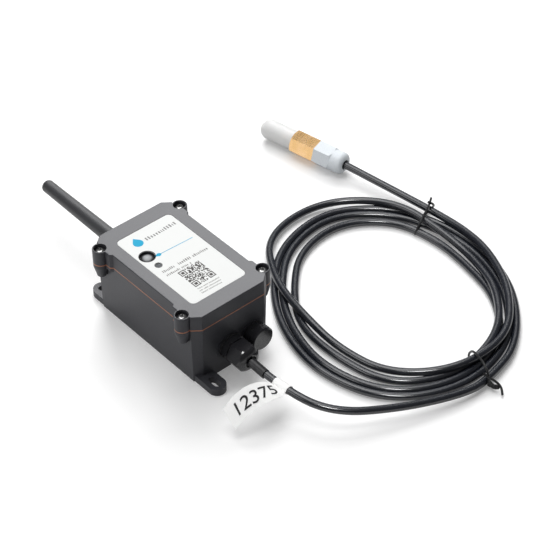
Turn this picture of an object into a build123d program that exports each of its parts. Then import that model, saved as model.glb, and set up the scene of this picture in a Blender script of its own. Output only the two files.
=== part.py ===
from build123d import *
import math
import os

# Temperature and humidity sensor with a wired probe.
# The origin is the centre of the housing's base on the surface it stands on.
# +X is across the housing, +Y points to the antenna end, +Z is up. Millimetres.

# Battery and buffer capacitor under the board
CELL_DIAMETER = 26.2
CELL_LENGTH = 50.0
CELL_CAP_DIAMETER = 8.0
CELL_CAP_HEIGHT = 1.0
CELL_EDGE = 1.0
SEAT_GAP = 0.2
CRADLE_HEIGHT = 8.0
CRADLE_THICKNESS = 1.6
CRADLE_WIDTH = 0.8 * CELL_DIAMETER
CRADLE_Y = 16.0
CAPACITOR_DIAMETER = 15.0
CAPACITOR_LENGTH = 22.0
CAPACITOR_EDGE = 0.8

# Walls, and the room left between the parts inside
WALL = 2.4
FLOOR = 2.5
LID_ROOF = 2.6
CELL_ROOM = 4.7          # from the cell up to the board
CELL_MARGIN = 0.9        # from the board's left edge to the cell, seen from above
CAPACITOR_MARGIN = 0.4   # from the board's right edge to the capacitor
MIDDLE_ROOM = 2.5        # between the cell and the capacitor
TERMINAL_ROOM = 2.2      # from the screw terminal up to the lid
POST_ROOM = 3.0          # from the cell's end to a board post
END_ROOM = 5.3           # from the board to the short walls
SIDE_ROOM = 2.1          # from the board to the long walls

# Circuit board on its four posts
POST_RADIUS = 3.0
POST_TO_SIDE = 3.0       # from a post's axis to the board's long edge
POST_TO_END = 6.5        # from a post's axis to the board's short edge
BOARD_THICKNESS = 1.6
BOARD_CORNER = 2.0
BOARD_HOLE_GAP = 0.1
BOARD_X = CELL_DIAMETER + CAPACITOR_DIAMETER + CELL_MARGIN + CAPACITOR_MARGIN + MIDDLE_ROOM
POST_X = BOARD_X / 2 - POST_TO_SIDE
POST_Y = CELL_LENGTH / 2 + POST_ROOM + POST_RADIUS
BOARD_Y = 2 * (POST_Y + POST_TO_END)
BOARD_BOTTOM = FLOOR + SEAT_GAP + CELL_DIAMETER + CELL_ROOM
BOARD_TOP = BOARD_BOTTOM + BOARD_THICKNESS
BOARD_SCREW_DIAMETER = 2.5
BOARD_SCREW_LENGTH = 7.0
BOARD_SCREW_HEAD = 4.6
BOARD_SCREW_HEAD_HEIGHT = 1.6
NOTCH_WIDTH = 20.0
NOTCH_DEPTH = 6.0
CELL_X = -BOARD_X / 2 + CELL_MARGIN + CELL_DIAMETER / 2
CELL_Z = FLOOR + SEAT_GAP + CELL_DIAMETER / 2
CAPACITOR_X = BOARD_X / 2 - CAPACITOR_MARGIN - CAPACITOR_DIAMETER / 2
CAPACITOR_Z = FLOOR + SEAT_GAP + CAPACITOR_DIAMETER / 2

# What the board carries
SWITCH_SIZE = 6.0
SWITCH_HEIGHT = 3.9
PLUNGER_DIAMETER = 3.4
PLUNGER_TOP = 6.4        # above the board
PLUNGER_SINK = 2.3       # inside the switch
PLUNGER_CLEARANCE = 0.3
LED_DIAMETER = 3.0
LED_HEIGHT = 3.6
LED_GAP = 0.4
MODULE_X, MODULE_Y = 7.0, 19.0
MODULE_WIDTH, MODULE_LENGTH = 18.0, 16.0
MODULE_BASE = 0.8
SHIELD_INSET = 1.0
SHIELD_HEIGHT = 2.2
TERMINAL_POLES = 4
TERMINAL_PITCH = 3.5
TERMINAL_DEPTH = 7.6
TERMINAL_HEIGHT = 8.6
TERMINAL_SCREW = 2.2     # diameter of the wells over its screws
TERMINAL_SCREW_DEPTH = 2.0
TERMINAL_ENTRY_GAP = 0.3
TERMINAL_ENTRY_DEPTH = 2.5
TERMINAL_TO_NOTCH = 1.1
TERMINAL_X = -2.8
TERMINAL_Y = -(BOARD_Y / 2 - NOTCH_DEPTH - TERMINAL_TO_NOTCH - TERMINAL_DEPTH / 2)
PLUG_X, PLUG_Y = 13.0, -22.0
PLUG_WIDTH, PLUG_LENGTH, PLUG_HEIGHT = 7.4, 6.0, 5.6
PLUG_PIN = 1.5           # its two contacts, beside its middle

# Housing, as large as the parts inside need
LENGTH = BOARD_Y + 2 * (END_ROOM + WALL)    # along Y at the parting line
WIDTH = BOARD_X + 2 * (SIDE_ROOM + WALL)    # along X there, without the screw ears
HEIGHT = BOARD_TOP + TERMINAL_HEIGHT + TERMINAL_ROOM + LID_ROOF
LID_HEIGHT = 9.2
GASKET_HEIGHT = 0.8
DRAFT = 1.3              # degrees
CORNER_X = 5.0           # chamfered corner, along X
CORNER_Y = 4.0           # chamfered corner, along Y
TOP_EDGE = 0.5           # rounded top edge of the lid
BASE_TOP = HEIGHT - LID_HEIGHT - GASKET_HEIGHT
LID_BOTTOM = HEIGHT - LID_HEIGHT
FRONT = -LENGTH / 2
REAR = LENGTH / 2

# Screw ears
EAR_RADIUS = 4.5
EAR_OUTSET = 1.5         # ear centre outside the long wall
EAR_FROM_END = 9.0       # ear centre from the short wall
EAR_RIM = 2.2            # straight part of the ear under the parting line
EAR_CONE = 7.0           # tapered part under the rim
EAR_TIP_RADIUS = 2.8
SHOULDER_OUTSET = 1.4
SHOULDER_LENGTH = 9.6
INSERT_RUNOUT = 1.5      # screw hole below the insert
SCREW_X = WIDTH / 2 + EAR_OUTSET
SCREW_Y = LENGTH / 2 - EAR_FROM_END
EARS = [(x, y) for x in (-1, 1) for y in (-1, 1)]

# Lid screws and the inserts that they turn into
SCREW_DIAMETER = 3.0
SCREW_LENGTH = 12.0
SCREW_HEAD_DIAMETER = 5.4
SCREW_HEAD_HEIGHT = 2.2
SCREW_HOLE = 3.4
CROSS_WIDTH = 0.9
CROSS_LENGTH = 3.0
CROSS_DEPTH = 1.2
CROSS_TURN = 35.0        # degrees
RECESS_DIAMETER = 7.6
RECESS_DEPTH = 3.1
INSERT_DIAMETER = 4.4
INSERT_LENGTH = 5.8
THREAD_CLEARANCE = 0.05  # between a plain shank and its plain thread bore
CORNER_MARGIN = 0.01     # a hexagon's turned envelope stands this far outside its corners
BEVEL_SLOPE = 1.7        # a corner bevel reaches this much further inwards than down

# Mounting bar with its two feet, under the left side
FOOT_WIDTH = 10.4
FOOT_THICKNESS = 4.5
FOOT_LEFT = -25.6        # outer long edge of the bar
FRONT_FOOT_REACH = 14.2  # front tip beyond the front wall
REAR_FOOT_REACH = 9.6    # rear tip beyond the rear wall
FOOT_HOLE = 4.2
FRONT_SLOT_LENGTH = 8.4
FOOT_X = FOOT_LEFT + FOOT_WIDTH / 2
FRONT_FOOT_TIP = FRONT - FRONT_FOOT_REACH
REAR_FOOT_TIP = REAR + REAR_FOOT_REACH
FRONT_SLOT_EDGE = 2.9    # material left at the front tip
REAR_HOLE_Y = REAR_FOOT_TIP - FOOT_WIDTH / 2
FRONT_SLOT_Y = FRONT_FOOT_TIP + FRONT_SLOT_EDGE + FRONT_SLOT_LENGTH / 2

# Label film in its recess on the lid
LABEL_X = 38.6
LABEL_Y = 68.3
LABEL_THICKNESS = 0.4
LABEL_RECESS = 0.5
LABEL_CORNER = 3.0
LABEL_GAP = 0.2
LABEL_BOTTOM = HEIGHT - LABEL_RECESS

# Push button and status window in the lid
BUTTON_X = -13.1
BUTTON_Y = 13.2
BUTTON_HOLE = 9.0
BUTTON_CLEARANCE = 0.3
BUTTON_SINK = 0.7        # button crown below the lid's top
BUTTON_DOME = 1.1
BUTTON_FLANGE = 11.4
BUTTON_FLANGE_HEIGHT = 1.0
BUTTON_STEM = 3.2
BUTTON_TRAVEL = 0.6
WINDOW_X = -12.9
WINDOW_Y = 3.4
WINDOW_DIAMETER = 3.9
WINDOW_GAP = 0.05
WINDOW_FLANGE = 5.2
WINDOW_FLANGE_HEIGHT = 0.8

# Cable gland in the front wall
GLAND_X = -2.8
GLAND_Z = 15.9
GLAND_THREAD = 12.0
GLAND_HOLE = 12.2
GLAND_FLATS = 15.0
GLAND_FLANGE = 4.4
GLAND_INSIDE = 11.0      # thread length behind the washer
GLAND_NECK = 7.0         # threaded neck that the dome nut turns on
GLAND_NUT_LENGTH = 11.6
GLAND_NUT_GAP = 0.5      # between the flange and the nut
GLAND_DOME = 5.6
GLAND_MOUTH = 7.4
GLAND_LIP = 0.7          # flat rim round the mouth
GLAND_SINK = 1.2         # the insert ends this far inside the mouth
GLAND_BEVEL = 0.6
GLAND_SEAT = 2.0         # the insert reaches this far into the flange
ENTRY_GAP = 0.6          # between the cable and the hexagon's bore
WASHER_HEIGHT = 1.0
WASHER_DIAMETER = 16.0
LOCKNUT_HEIGHT = 4.4
LOCKNUT_FLATS = 15.6
LOCKNUT_TURN = 30.0      # degrees
PAD_MARGIN = 1.6
INSERT_WALL = 2.2

# Vent plug beside the gland
VENT_X = 13.7
VENT_Z = GLAND_Z
VENT_HEAD_DIAMETER = 14.8
VENT_HEAD_HEIGHT = 7.6
VENT_EDGE = 0.8
VENT_THREAD = 10.0
VENT_INSIDE = 8.0
VENT_BORE = 5.0
VENT_SLOTS = 6
VENT_SLOT_WIDTH = 1.4
VENT_SLOT_HEIGHT = 1.6
VENT_SLOT_DEPTH = 1.5
VENT_LOCKNUT_FLATS = 13.0
VENT_WASHER_INSET = 0.4

# Antenna in the rear wall
ANTENNA_Z = 21.6
ANTENNA_TIP_Y = 130.0
ANTENNA_BASE_DIAMETER = 9.3
ANTENNA_TIP_DIAMETER = 8.1
CONNECTOR_DIAMETER = 6.2
CONNECTOR_HOLE = 6.4
CONNECTOR_INSIDE = 9.0
CONNECTOR_OUTSIDE = 9.5
CONNECTOR_FLANGE_FLATS = 8.0
CONNECTOR_FLANGE = 2.0
ANTENNA_NUT_FLATS = 8.0
ANTENNA_NUT_HEIGHT = 2.0
ANTENNA_WASHER_DIAMETER = 9.4
ANTENNA_WASHER_HEIGHT = 0.6
COLLAR_FLATS = 8.0
COLLAR_LENGTH = 8.0
COLLAR_GAP = 0.4
SOCKET_DIAMETER = 4.2    # hollow in the socket's outer end
SOCKET_DEPTH = 4.0

# Cable, 4.6 mm jacket
CABLE_DIAMETER = 4.6
CABLE_R = CABLE_DIAMETER / 2
LEAD_START = (GLAND_X, FRONT - WASHER_HEIGHT - GLAND_FLANGE - GLAND_NUT_GAP - GLAND_NUT_LENGTH, GLAND_Z)
LEAD_ROUTE = [
    LEAD_START,
    (GLAND_X, -87.7, 14.6),
    (7.2, -117.4, 11.2),
    (41.6, -136.6, 6.8),
    (79.2, -148.3, 4.2),
    (99.8, -147.0, 3.8),
]
PROBE_EXIT = (159.1, 37.25)
PROBE_HEADING = 100.8    # degrees from +X towards +Y
TAIL_POINTS = [
    (171.8, -55.2, 5.4),
    (170.6, -29.2, 5.3),
    (167.2, -3.2, 5.6),
]
TAIL_STRAIGHT = 18.8     # last run, in line with the probe

# Coil of the cable: an oval, with each turn set inwards from it by these offsets.
# The rows are turns in the order they are wound, the columns are 30 degrees apart.
COIL_X, COIL_Y = 104.2, -62.0
COIL_SEMI_X, COIL_SEMI_Y = 67.7, 82.6
COIL_TILT = -20.1        # degrees
COIL_SQUARENESS = 2.3    # 2 is an ellipse
COIL_START_ANGLE = 285.0
COIL_STEP = 30.0
COIL_TURNS = [
    [-0.7, 1.0, -1.0, 2.5, 8.5, 3.8, 6.5, 4.5, -0.3, -1.3, 0.5, 3.4],
    [4.0, 5.3, 3.8, 7.0, 12.5, 8.0, 11.0, 9.0, 4.2, 4.6, 6.2, 8.0],
    [8.6, 10.0, 8.5, 11.8, 17.0, 14.3, 17.0, 14.5, 9.0, 12.0, 12.0, 12.5],
    [10.8, 7.6, 6.0, 4.8, 4.6, -2.8, -2.2, 7.0, 13.2, 17.4, 15.6, 10.6],
]
COIL_HEIGHT = 9.0
COIL_EDGE = 1.8

# Heat-shrink sleeve, marker flag and coil ties on the cable
SLEEVE_THICKNESS = 0.5
SLEEVE_LENGTH = 12.0
SLEEVE_GAP = 0.3         # from the gland's mouth
FLAG_START = 17.5        # from the gland's mouth
FLAG_WIDTH = 14.0
FLAG_THICKNESS = 0.4
FLAG_SLACK = 0.4         # the tape is stiffer than the cable's bend
FLAG_DROP = [(-6.5, 1.2), (-14.5, 2.0), (-23.5, -0.4), (-33.5, -6.4)]
TIE_RADIUS = 0.6
UPPER_TIE_CENTRE = (160.6, -27.8)
UPPER_TIE_ANGLE = 33.0
UPPER_TIE_SPAN = 29.0
LOWER_TIE_CENTRE = (99.1, -138.1)
LOWER_TIE_ANGLE = 264.0
LOWER_TIE_SPAN = 27.0
TIE_TAIL = 12.0
TIE_TAIL_RADIUS = 0.78
TIE_BEND = 3.0
TIE_GAP = 0.1

# Probe, lying on the surface
PROBE_FLATS = 14.0
PROBE_TURN = 18.0        # the hexagon is rolled this far off its flat
FITTING_LENGTH = 18.0
PROBE_NUT_LENGTH = 20.6
PROBE_NUT_HEX = 12.6
PROBE_NUT_DOME = 3.4
PROBE_MOUTH = 6.4
CAP_DIAMETER = 13.0
CAP_LENGTH = 25.8
CAP_WALL = 1.2
CAP_NOSE = 5.6           # radius of the rounded end
SPIGOT_DIAMETER = 10.0
SPIGOT_LENGTH = 7.0
SPIGOT_GAP = 0.1
FITTING_BORE = 7.0
NECK_DIAMETER = 11.0
NECK_LENGTH = 8.0
PROBE_BOARD_WIDTH = 6.0
PROBE_BOARD_LENGTH = 20.0
PROBE_BOARD_THICKNESS = 1.0
PROBE_CHIP = 2.5
PROBE_CHIP_HEIGHT = 0.9
PROBE_CHIP_INSET = 2.0
PROBE_BOARD_HOLD = 4.0   # length held in the spigot
PROBE_LIP = 0.8
PROBE_SEAL_INSET = 0.6
PROBE_BEVEL = 0.7
PROBE_RISE = 1.0         # the cable climbs this much to the probe

# Wires inside the housing
WIRE_RADIUS = 0.6
COAX_RADIUS = 0.7
WIRE_BEND = 1.4
SENSOR_WIRE_RADIUS = 0.48
SENSOR_WIRE_SPREAD = 0.38    # of the terminal's pitch, where the wires leave the jacket
SENSOR_WIRE_REACH = 3.2
SENSOR_WIRE_RISE = 9.0
SENSOR_WIRE_LOOP = 4.0       # in front of the terminal
SENSOR_WIRE_DIP = 3.0        # below the board
BATTERY_LEAD_FRONT = 3.6     # beyond the cell's front end
BATTERY_LEAD_REAR = 3.0
BATTERY_LEAD_RISE = [3.0, 4.0, 5.5, 5.0]
BATTERY_LEAD_SIDE = 4.5      # left of the plug
BATTERY_LEAD_TURN = 7.0      # behind the plug
COAX_REACH = 2.8             # from the socket's inner end
COAX_RISE = 5.0
COAX_BACK = 1.6
COAX_DIP = 2.4               # below the board
COAX_LOOP = 1.2              # over the radio module
COAX_END = 1.8               # beside the radio module


def cylinder(radius, low, high):
    """A solid disc about the local Z axis between two heights."""
    return Pos(0, 0, low) * Cylinder(radius, high - low, align=(Align.CENTER, Align.CENTER, Align.MIN))


def ring(outer, inner, low, high):
    """A tube about the local Z axis."""
    return cylinder(outer, low, high) - cylinder(inner, low, high)


def hexagon(flats, low, high, turn=0.0):
    """A hexagonal prism about the local Z axis, measured across its flats."""
    outline = Rot(0, 0, turn) * RegularPolygon(flats / 2, 6, major_radius=False)
    return Pos(0, 0, low) * extrude(outline, amount=high - low)


def block(size_x, size_y, low, high):
    return Pos(0, 0, low) * Box(size_x, size_y, high - low, align=(Align.CENTER, Align.CENTER, Align.MIN))


def turned(points):
    """Revolve a profile of (radius, height) points about the local Z axis."""
    profile = Polyline(*[(radius, 0, height) for radius, height in points], close=True)
    return revolve(make_face(profile), axis=Axis.Z)


def nut_corners(flats, low, high, bevel):
    """The turned envelope that bevels a hexagon's corners at its upper end."""
    corner = flats / math.sqrt(3) + CORNER_MARGIN
    inset = BEVEL_SLOPE * bevel
    return turned([(0, low), (corner, low), (corner, high - bevel), (corner - inset, high), (0, high)])


def octagon(half_x, half_y):
    """The housing's outline without ears: a rectangle with its corners cut."""
    points = [
        (half_x, half_y - CORNER_Y), (half_x - CORNER_X, half_y),
        (-half_x + CORNER_X, half_y), (-half_x, half_y - CORNER_Y),
        (-half_x, -half_y + CORNER_Y), (-half_x + CORNER_X, -half_y),
        (half_x - CORNER_X, -half_y), (half_x, -half_y + CORNER_Y),
    ]
    return make_face(Polyline(*points, close=True))


def ear_outline():
    """The four round ears and the shoulders that lead into them."""
    outline = Sketch()
    inner_x = WIDTH / 2 - WALL / 2
    outer_x = WIDTH / 2 + SHOULDER_OUTSET
    for side_x, side_y in EARS:
        near_y = SCREW_Y - SHOULDER_LENGTH
        shoulder = [
            (inner_x, near_y), (WIDTH / 2, near_y), (outer_x, near_y + SHOULDER_OUTSET),
            (outer_x, SCREW_Y), (inner_x, SCREW_Y),
        ]
        points = [(side_x * x, side_y * y) for x, y in shoulder]
        outline += make_face(Polyline(*points, close=True))
        outline += Pos(side_x * SCREW_X, side_y * SCREW_Y) * Circle(EAR_RADIUS)
    return outline


def at_ears(shape):
    """One copy of a shape at each screw axis."""
    return [Pos(x * SCREW_X, y * SCREW_Y, 0) * shape for x, y in EARS]


def at_posts(shape):
    return [Pos(x * POST_X, y * POST_Y, 0) * shape for x, y in EARS]


FRONT_FRAME = Plane(origin=(0, FRONT, 0), x_dir=(1, 0, 0), z_dir=(0, -1, 0))
REAR_FRAME = Plane(origin=(0, REAR, 0), x_dir=(-1, 0, 0), z_dir=(0, 1, 0))


def on_front(shape, x, z):
    """Stand a shape on the front wall's pads: its Z axis points out of the wall."""
    return FRONT_FRAME * (Pos(x, z, 0) * shape)


def on_rear(shape, z):
    return REAR_FRAME * (Pos(0, z, 0) * shape)


def foot_bar():
    """The mounting bar: one strip with round ends, a front slot and a rear hole."""
    straight = REAR_FOOT_TIP - FRONT_FOOT_TIP
    middle = (REAR_FOOT_TIP + FRONT_FOOT_TIP) / 2
    strip = Pos(FOOT_X, middle) * Rot(0, 0, 90) * SlotOverall(straight, FOOT_WIDTH)
    slot = Pos(FOOT_X, FRONT_SLOT_Y) * Rot(0, 0, 90) * SlotOverall(FRONT_SLOT_LENGTH, FOOT_HOLE)
    hole = Pos(FOOT_X, REAR_HOLE_Y) * Circle(FOOT_HOLE / 2)
    return extrude(strip - slot - hole, amount=FOOT_THICKNESS)


def cradle_rib(y):
    """A rib on the floor, hollowed to the battery."""
    rib = Pos(CELL_X, y, 0) * block(CRADLE_WIDTH, CRADLE_THICKNESS, FLOOR, FLOOR + CRADLE_HEIGHT)
    seat = Rot(90, 0, 0) * Cylinder(CELL_DIAMETER / 2 + SEAT_GAP, 2 * CRADLE_THICKNESS)
    return rib - Pos(CELL_X, y, CELL_Z) * seat


def base_shell():
    outer_face = Pos(0, 0, BASE_TOP) * octagon(WIDTH / 2, LENGTH / 2)
    inner_face = Pos(0, 0, BASE_TOP) * octagon(WIDTH / 2 - WALL, LENGTH / 2 - WALL)
    shell = extrude(outer_face, amount=-BASE_TOP, taper=DRAFT)
    shell += foot_bar()
    shell += Pos(0, 0, BASE_TOP - EAR_RIM) * extrude(ear_outline(), amount=EAR_RIM)
    cone_top = BASE_TOP - EAR_RIM
    cone = turned([(0, cone_top - EAR_CONE), (EAR_TIP_RADIUS, cone_top - EAR_CONE),
                   (EAR_RADIUS, cone_top), (0, cone_top)])
    for copy in at_ears(cone):
        shell += copy
    shell += on_front(cylinder(GLAND_FLATS / 2 + PAD_MARGIN, -WALL, 0), GLAND_X, GLAND_Z)
    shell += on_front(cylinder(VENT_HEAD_DIAMETER / 2 + PAD_MARGIN / 2, -WALL, 0), VENT_X, VENT_Z)
    shell += on_rear(cylinder(ANTENNA_WASHER_DIAMETER / 2 + PAD_MARGIN, -WALL, 0), ANTENNA_Z)
    shell -= extrude(inner_face, amount=FLOOR - BASE_TOP, taper=DRAFT)
    post = cylinder(POST_RADIUS, FLOOR, BOARD_BOTTOM)
    bore_low = BOARD_BOTTOM - BOARD_SCREW_LENGTH
    post -= cylinder(BOARD_SCREW_DIAMETER / 2 + THREAD_CLEARANCE, bore_low, BOARD_BOTTOM)
    for copy in at_posts(post):
        shell += copy
    shell += cradle_rib(-CRADLE_Y) + cradle_rib(CRADLE_Y)
    seat_low = -WALL - LOCKNUT_HEIGHT / 2
    shell -= on_front(cylinder(LOCKNUT_FLATS / 2 + PAD_MARGIN, seat_low, -WALL), GLAND_X, GLAND_Z)
    shell -= on_front(cylinder(VENT_LOCKNUT_FLATS / 2 + PAD_MARGIN, seat_low, -WALL), VENT_X, VENT_Z)
    shell -= on_rear(cylinder(CONNECTOR_FLANGE_FLATS / 2 + PAD_MARGIN, seat_low, -WALL), ANTENNA_Z)
    shell -= on_front(cylinder(GLAND_HOLE / 2, -3 * WALL, 1), GLAND_X, GLAND_Z)
    shell -= on_front(cylinder(VENT_THREAD / 2 + THREAD_CLEARANCE * 2, -3 * WALL, 1), VENT_X, VENT_Z)
    shell -= on_rear(cylinder(CONNECTOR_HOLE / 2, -3 * WALL, 1), ANTENNA_Z)
    for copy in at_ears(cylinder(INSERT_DIAMETER / 2, BASE_TOP - INSERT_LENGTH, BASE_TOP)):
        shell -= copy
    for copy in at_ears(cylinder(SCREW_HOLE / 2, BASE_TOP - INSERT_LENGTH - INSERT_RUNOUT, BASE_TOP)):
        shell -= copy
    return shell


def lid():
    outline = Pos(0, 0, LID_BOTTOM) * octagon(WIDTH / 2, LENGTH / 2)
    cover = extrude(outline, amount=LID_HEIGHT, taper=DRAFT / 2)
    cover += Pos(0, 0, LID_BOTTOM) * extrude(ear_outline(), amount=LID_HEIGHT)
    cover = fillet(cover.faces().sort_by(Axis.Z)[-1].outer_wire().edges(), TOP_EDGE)
    inner = Pos(0, 0, LID_BOTTOM) * octagon(WIDTH / 2 - WALL, LENGTH / 2 - WALL)
    cover -= extrude(inner, amount=LID_HEIGHT - LID_ROOF, taper=DRAFT)
    recess = RectangleRounded(LABEL_X + 2 * LABEL_GAP, LABEL_Y + 2 * LABEL_GAP, LABEL_CORNER + LABEL_GAP)
    cover -= Pos(0, 0, LABEL_BOTTOM) * extrude(recess, amount=LABEL_RECESS)
    cover -= Pos(BUTTON_X, BUTTON_Y, 0) * cylinder(BUTTON_HOLE / 2, LID_BOTTOM, HEIGHT)
    cover -= Pos(WINDOW_X, WINDOW_Y, 0) * cylinder(WINDOW_DIAMETER / 2, LID_BOTTOM, HEIGHT)
    for copy in at_ears(cylinder(RECESS_DIAMETER / 2, HEIGHT - RECESS_DEPTH, HEIGHT)):
        cover -= copy
    for copy in at_ears(cylinder(SCREW_HOLE / 2, LID_BOTTOM, HEIGHT)):
        cover -= copy
    return cover


def lid_gasket():
    outline = octagon(WIDTH / 2, LENGTH / 2) + ear_outline()
    outline -= octagon(WIDTH / 2 - WALL, LENGTH / 2 - WALL)
    sheet = Pos(0, 0, BASE_TOP) * extrude(outline, amount=GASKET_HEIGHT)
    for copy in at_ears(cylinder(SCREW_HOLE / 2, BASE_TOP, LID_BOTTOM)):
        sheet -= copy
    return sheet


def pan_screw(diameter, length, head_diameter, head_height, seat):
    """A pan-head screw whose head sits on a seat, with a cross recess."""
    edge = 0.35 * head_height
    head = turned([(0, seat), (head_diameter / 2, seat), (head_diameter / 2, seat + head_height - edge),
                   (head_diameter / 2 - edge, seat + head_height - edge / 3),
                   (head_diameter / 4, seat + head_height), (0, seat + head_height)])
    screw = head + cylinder(diameter / 2, seat - length, seat)
    top = seat + head_height
    for turn in (0, 90):
        screw -= Rot(0, 0, turn) * block(CROSS_LENGTH, CROSS_WIDTH, top - CROSS_DEPTH, top)
    return screw


def lid_screws():
    seat = HEIGHT - RECESS_DEPTH
    screw = pan_screw(SCREW_DIAMETER, SCREW_LENGTH, SCREW_HEAD_DIAMETER, SCREW_HEAD_HEIGHT, seat)
    return at_ears(Rot(0, 0, CROSS_TURN) * screw)


def thread_inserts():
    bore = SCREW_DIAMETER / 2 + THREAD_CLEARANCE
    return at_ears(ring(INSERT_DIAMETER / 2, bore, BASE_TOP - INSERT_LENGTH, BASE_TOP))


def front_label():
    film = extrude(RectangleRounded(LABEL_X, LABEL_Y, LABEL_CORNER), amount=LABEL_THICKNESS)
    film = Pos(0, 0, LABEL_BOTTOM) * film
    film -= Pos(BUTTON_X, BUTTON_Y, 0) * cylinder(BUTTON_HOLE / 2, LABEL_BOTTOM, HEIGHT)
    film -= Pos(WINDOW_X, WINDOW_Y, 0) * cylinder(WINDOW_DIAMETER / 2, LABEL_BOTTOM, HEIGHT)
    return film


def act_button():
    """A domed cap with a flange under the lid and a stem down to the switch."""
    radius = BUTTON_HOLE / 2 - BUTTON_CLEARANCE
    crown = HEIGHT - BUTTON_SINK
    flange_top = HEIGHT - LID_ROOF - BUTTON_CLEARANCE
    flange_low = flange_top - BUTTON_FLANGE_HEIGHT
    profile = [
        Line((0, 0, BOARD_TOP + PLUNGER_TOP), (BUTTON_STEM / 2, 0, BOARD_TOP + PLUNGER_TOP)),
        Line((BUTTON_STEM / 2, 0, BOARD_TOP + PLUNGER_TOP), (BUTTON_STEM / 2, 0, flange_low)),
        Line((BUTTON_STEM / 2, 0, flange_low), (BUTTON_FLANGE / 2, 0, flange_low)),
        Line((BUTTON_FLANGE / 2, 0, flange_low), (BUTTON_FLANGE / 2, 0, flange_top)),
        Line((BUTTON_FLANGE / 2, 0, flange_top), (radius, 0, flange_top)),
        Line((radius, 0, flange_top), (radius, 0, crown - BUTTON_DOME)),
        ThreePointArc((radius, 0, crown - BUTTON_DOME), (radius * 0.7, 0, crown - 0.4 * BUTTON_DOME),
                      (radius * 0.2, 0, crown)),
        Line((radius * 0.2, 0, crown), (0, 0, crown)),
        Line((0, 0, crown), (0, 0, BOARD_TOP + PLUNGER_TOP)),
    ]
    return Pos(BUTTON_X, BUTTON_Y, 0) * revolve(make_face(Curve() + profile), axis=Axis.Z)


def tactile_switch():
    body = block(SWITCH_SIZE, SWITCH_SIZE, BOARD_TOP, BOARD_TOP + SWITCH_HEIGHT)
    bore_low = BOARD_TOP + SWITCH_HEIGHT - PLUNGER_SINK - BUTTON_TRAVEL - PLUNGER_CLEARANCE
    body -= cylinder(PLUNGER_DIAMETER / 2 + PLUNGER_CLEARANCE, bore_low, BOARD_TOP + SWITCH_HEIGHT)
    return Pos(BUTTON_X, BUTTON_Y, 0) * body


def switch_plunger():
    low = BOARD_TOP + SWITCH_HEIGHT - PLUNGER_SINK
    return Pos(BUTTON_X, BUTTON_Y, 0) * cylinder(PLUNGER_DIAMETER / 2, low, BOARD_TOP + PLUNGER_TOP)


def status_window():
    """A clear light pipe: it plugs the hole in the lid and ends over the lamp."""
    roof = HEIGHT - LID_ROOF
    pipe = cylinder(WINDOW_DIAMETER / 2 - WINDOW_GAP, BOARD_TOP + LED_HEIGHT + LED_GAP, LABEL_BOTTOM)
    pipe += cylinder(WINDOW_FLANGE / 2, roof - WINDOW_FLANGE_HEIGHT, roof)
    return Pos(WINDOW_X, WINDOW_Y, 0) * pipe


def status_led():
    radius = LED_DIAMETER / 2
    body = cylinder(radius, BOARD_TOP, BOARD_TOP + LED_HEIGHT - radius)
    body += Pos(0, 0, BOARD_TOP + LED_HEIGHT - radius) * Sphere(radius)
    return Pos(WINDOW_X, WINDOW_Y, 0) * body


def main_board():
    plate = RectangleRounded(BOARD_X, BOARD_Y, BOARD_CORNER)
    for side in (-1, 1):
        plate -= Pos(0, side * BOARD_Y / 2) * Rectangle(NOTCH_WIDTH, 2 * NOTCH_DEPTH)
    board = Pos(0, 0, BOARD_BOTTOM) * extrude(plate, amount=BOARD_THICKNESS)
    for copy in at_posts(cylinder(BOARD_SCREW_DIAMETER / 2 + BOARD_HOLE_GAP, BOARD_BOTTOM, BOARD_TOP)):
        board -= copy
    return board


def board_screws():
    length = BOARD_SCREW_LENGTH
    screw = cylinder(BOARD_SCREW_DIAMETER / 2, BOARD_TOP - length, BOARD_TOP)
    screw += cylinder(BOARD_SCREW_HEAD / 2, BOARD_TOP, BOARD_TOP + BOARD_SCREW_HEAD_HEIGHT)
    return at_posts(screw)


def radio_module():
    top = BOARD_TOP + MODULE_BASE
    module = block(MODULE_WIDTH, MODULE_LENGTH, BOARD_TOP, top)
    shield_width = MODULE_WIDTH - 2 * SHIELD_INSET
    shield_length = MODULE_LENGTH - 2 * SHIELD_INSET
    module += block(shield_width, shield_length, top, top + SHIELD_HEIGHT)
    return Pos(MODULE_X, MODULE_Y, 0) * module


def terminal_offsets():
    """Pole positions along X from the terminal's middle."""
    first = -(TERMINAL_POLES - 1) / 2 * TERMINAL_PITCH
    return [first + pole * TERMINAL_PITCH for pole in range(TERMINAL_POLES)]


def screw_terminal():
    width = TERMINAL_POLES * TERMINAL_PITCH
    top = BOARD_TOP + TERMINAL_HEIGHT
    body = block(width, TERMINAL_DEPTH, BOARD_TOP, top)
    for offset in terminal_offsets():
        body -= Pos(offset, 0, 0) * cylinder(TERMINAL_SCREW / 2, top - TERMINAL_SCREW_DEPTH, top)
        entry = Pos(offset, -TERMINAL_DEPTH / 2, BOARD_TOP + TERMINAL_HEIGHT / 2) * Rot(90, 0, 0)
        body -= entry * Cylinder(WIRE_RADIUS + TERMINAL_ENTRY_GAP, 2 * TERMINAL_ENTRY_DEPTH)
    return Pos(TERMINAL_X, TERMINAL_Y, 0) * body


def battery_plug():
    shell = block(PLUG_WIDTH, PLUG_LENGTH, BOARD_BOTTOM - PLUG_HEIGHT, BOARD_BOTTOM)
    return Pos(PLUG_X, PLUG_Y, 0) * shell


def battery_cell():
    half = CELL_LENGTH / 2
    cell = cylinder(CELL_DIAMETER / 2, -half, half - CELL_CAP_HEIGHT)
    cell = fillet(cell.edges(), CELL_EDGE)
    cell += cylinder(CELL_CAP_DIAMETER / 2, half - CELL_CAP_HEIGHT, half)
    return Pos(CELL_X, 0, CELL_Z) * Rot(90, 0, 0) * cell


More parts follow.
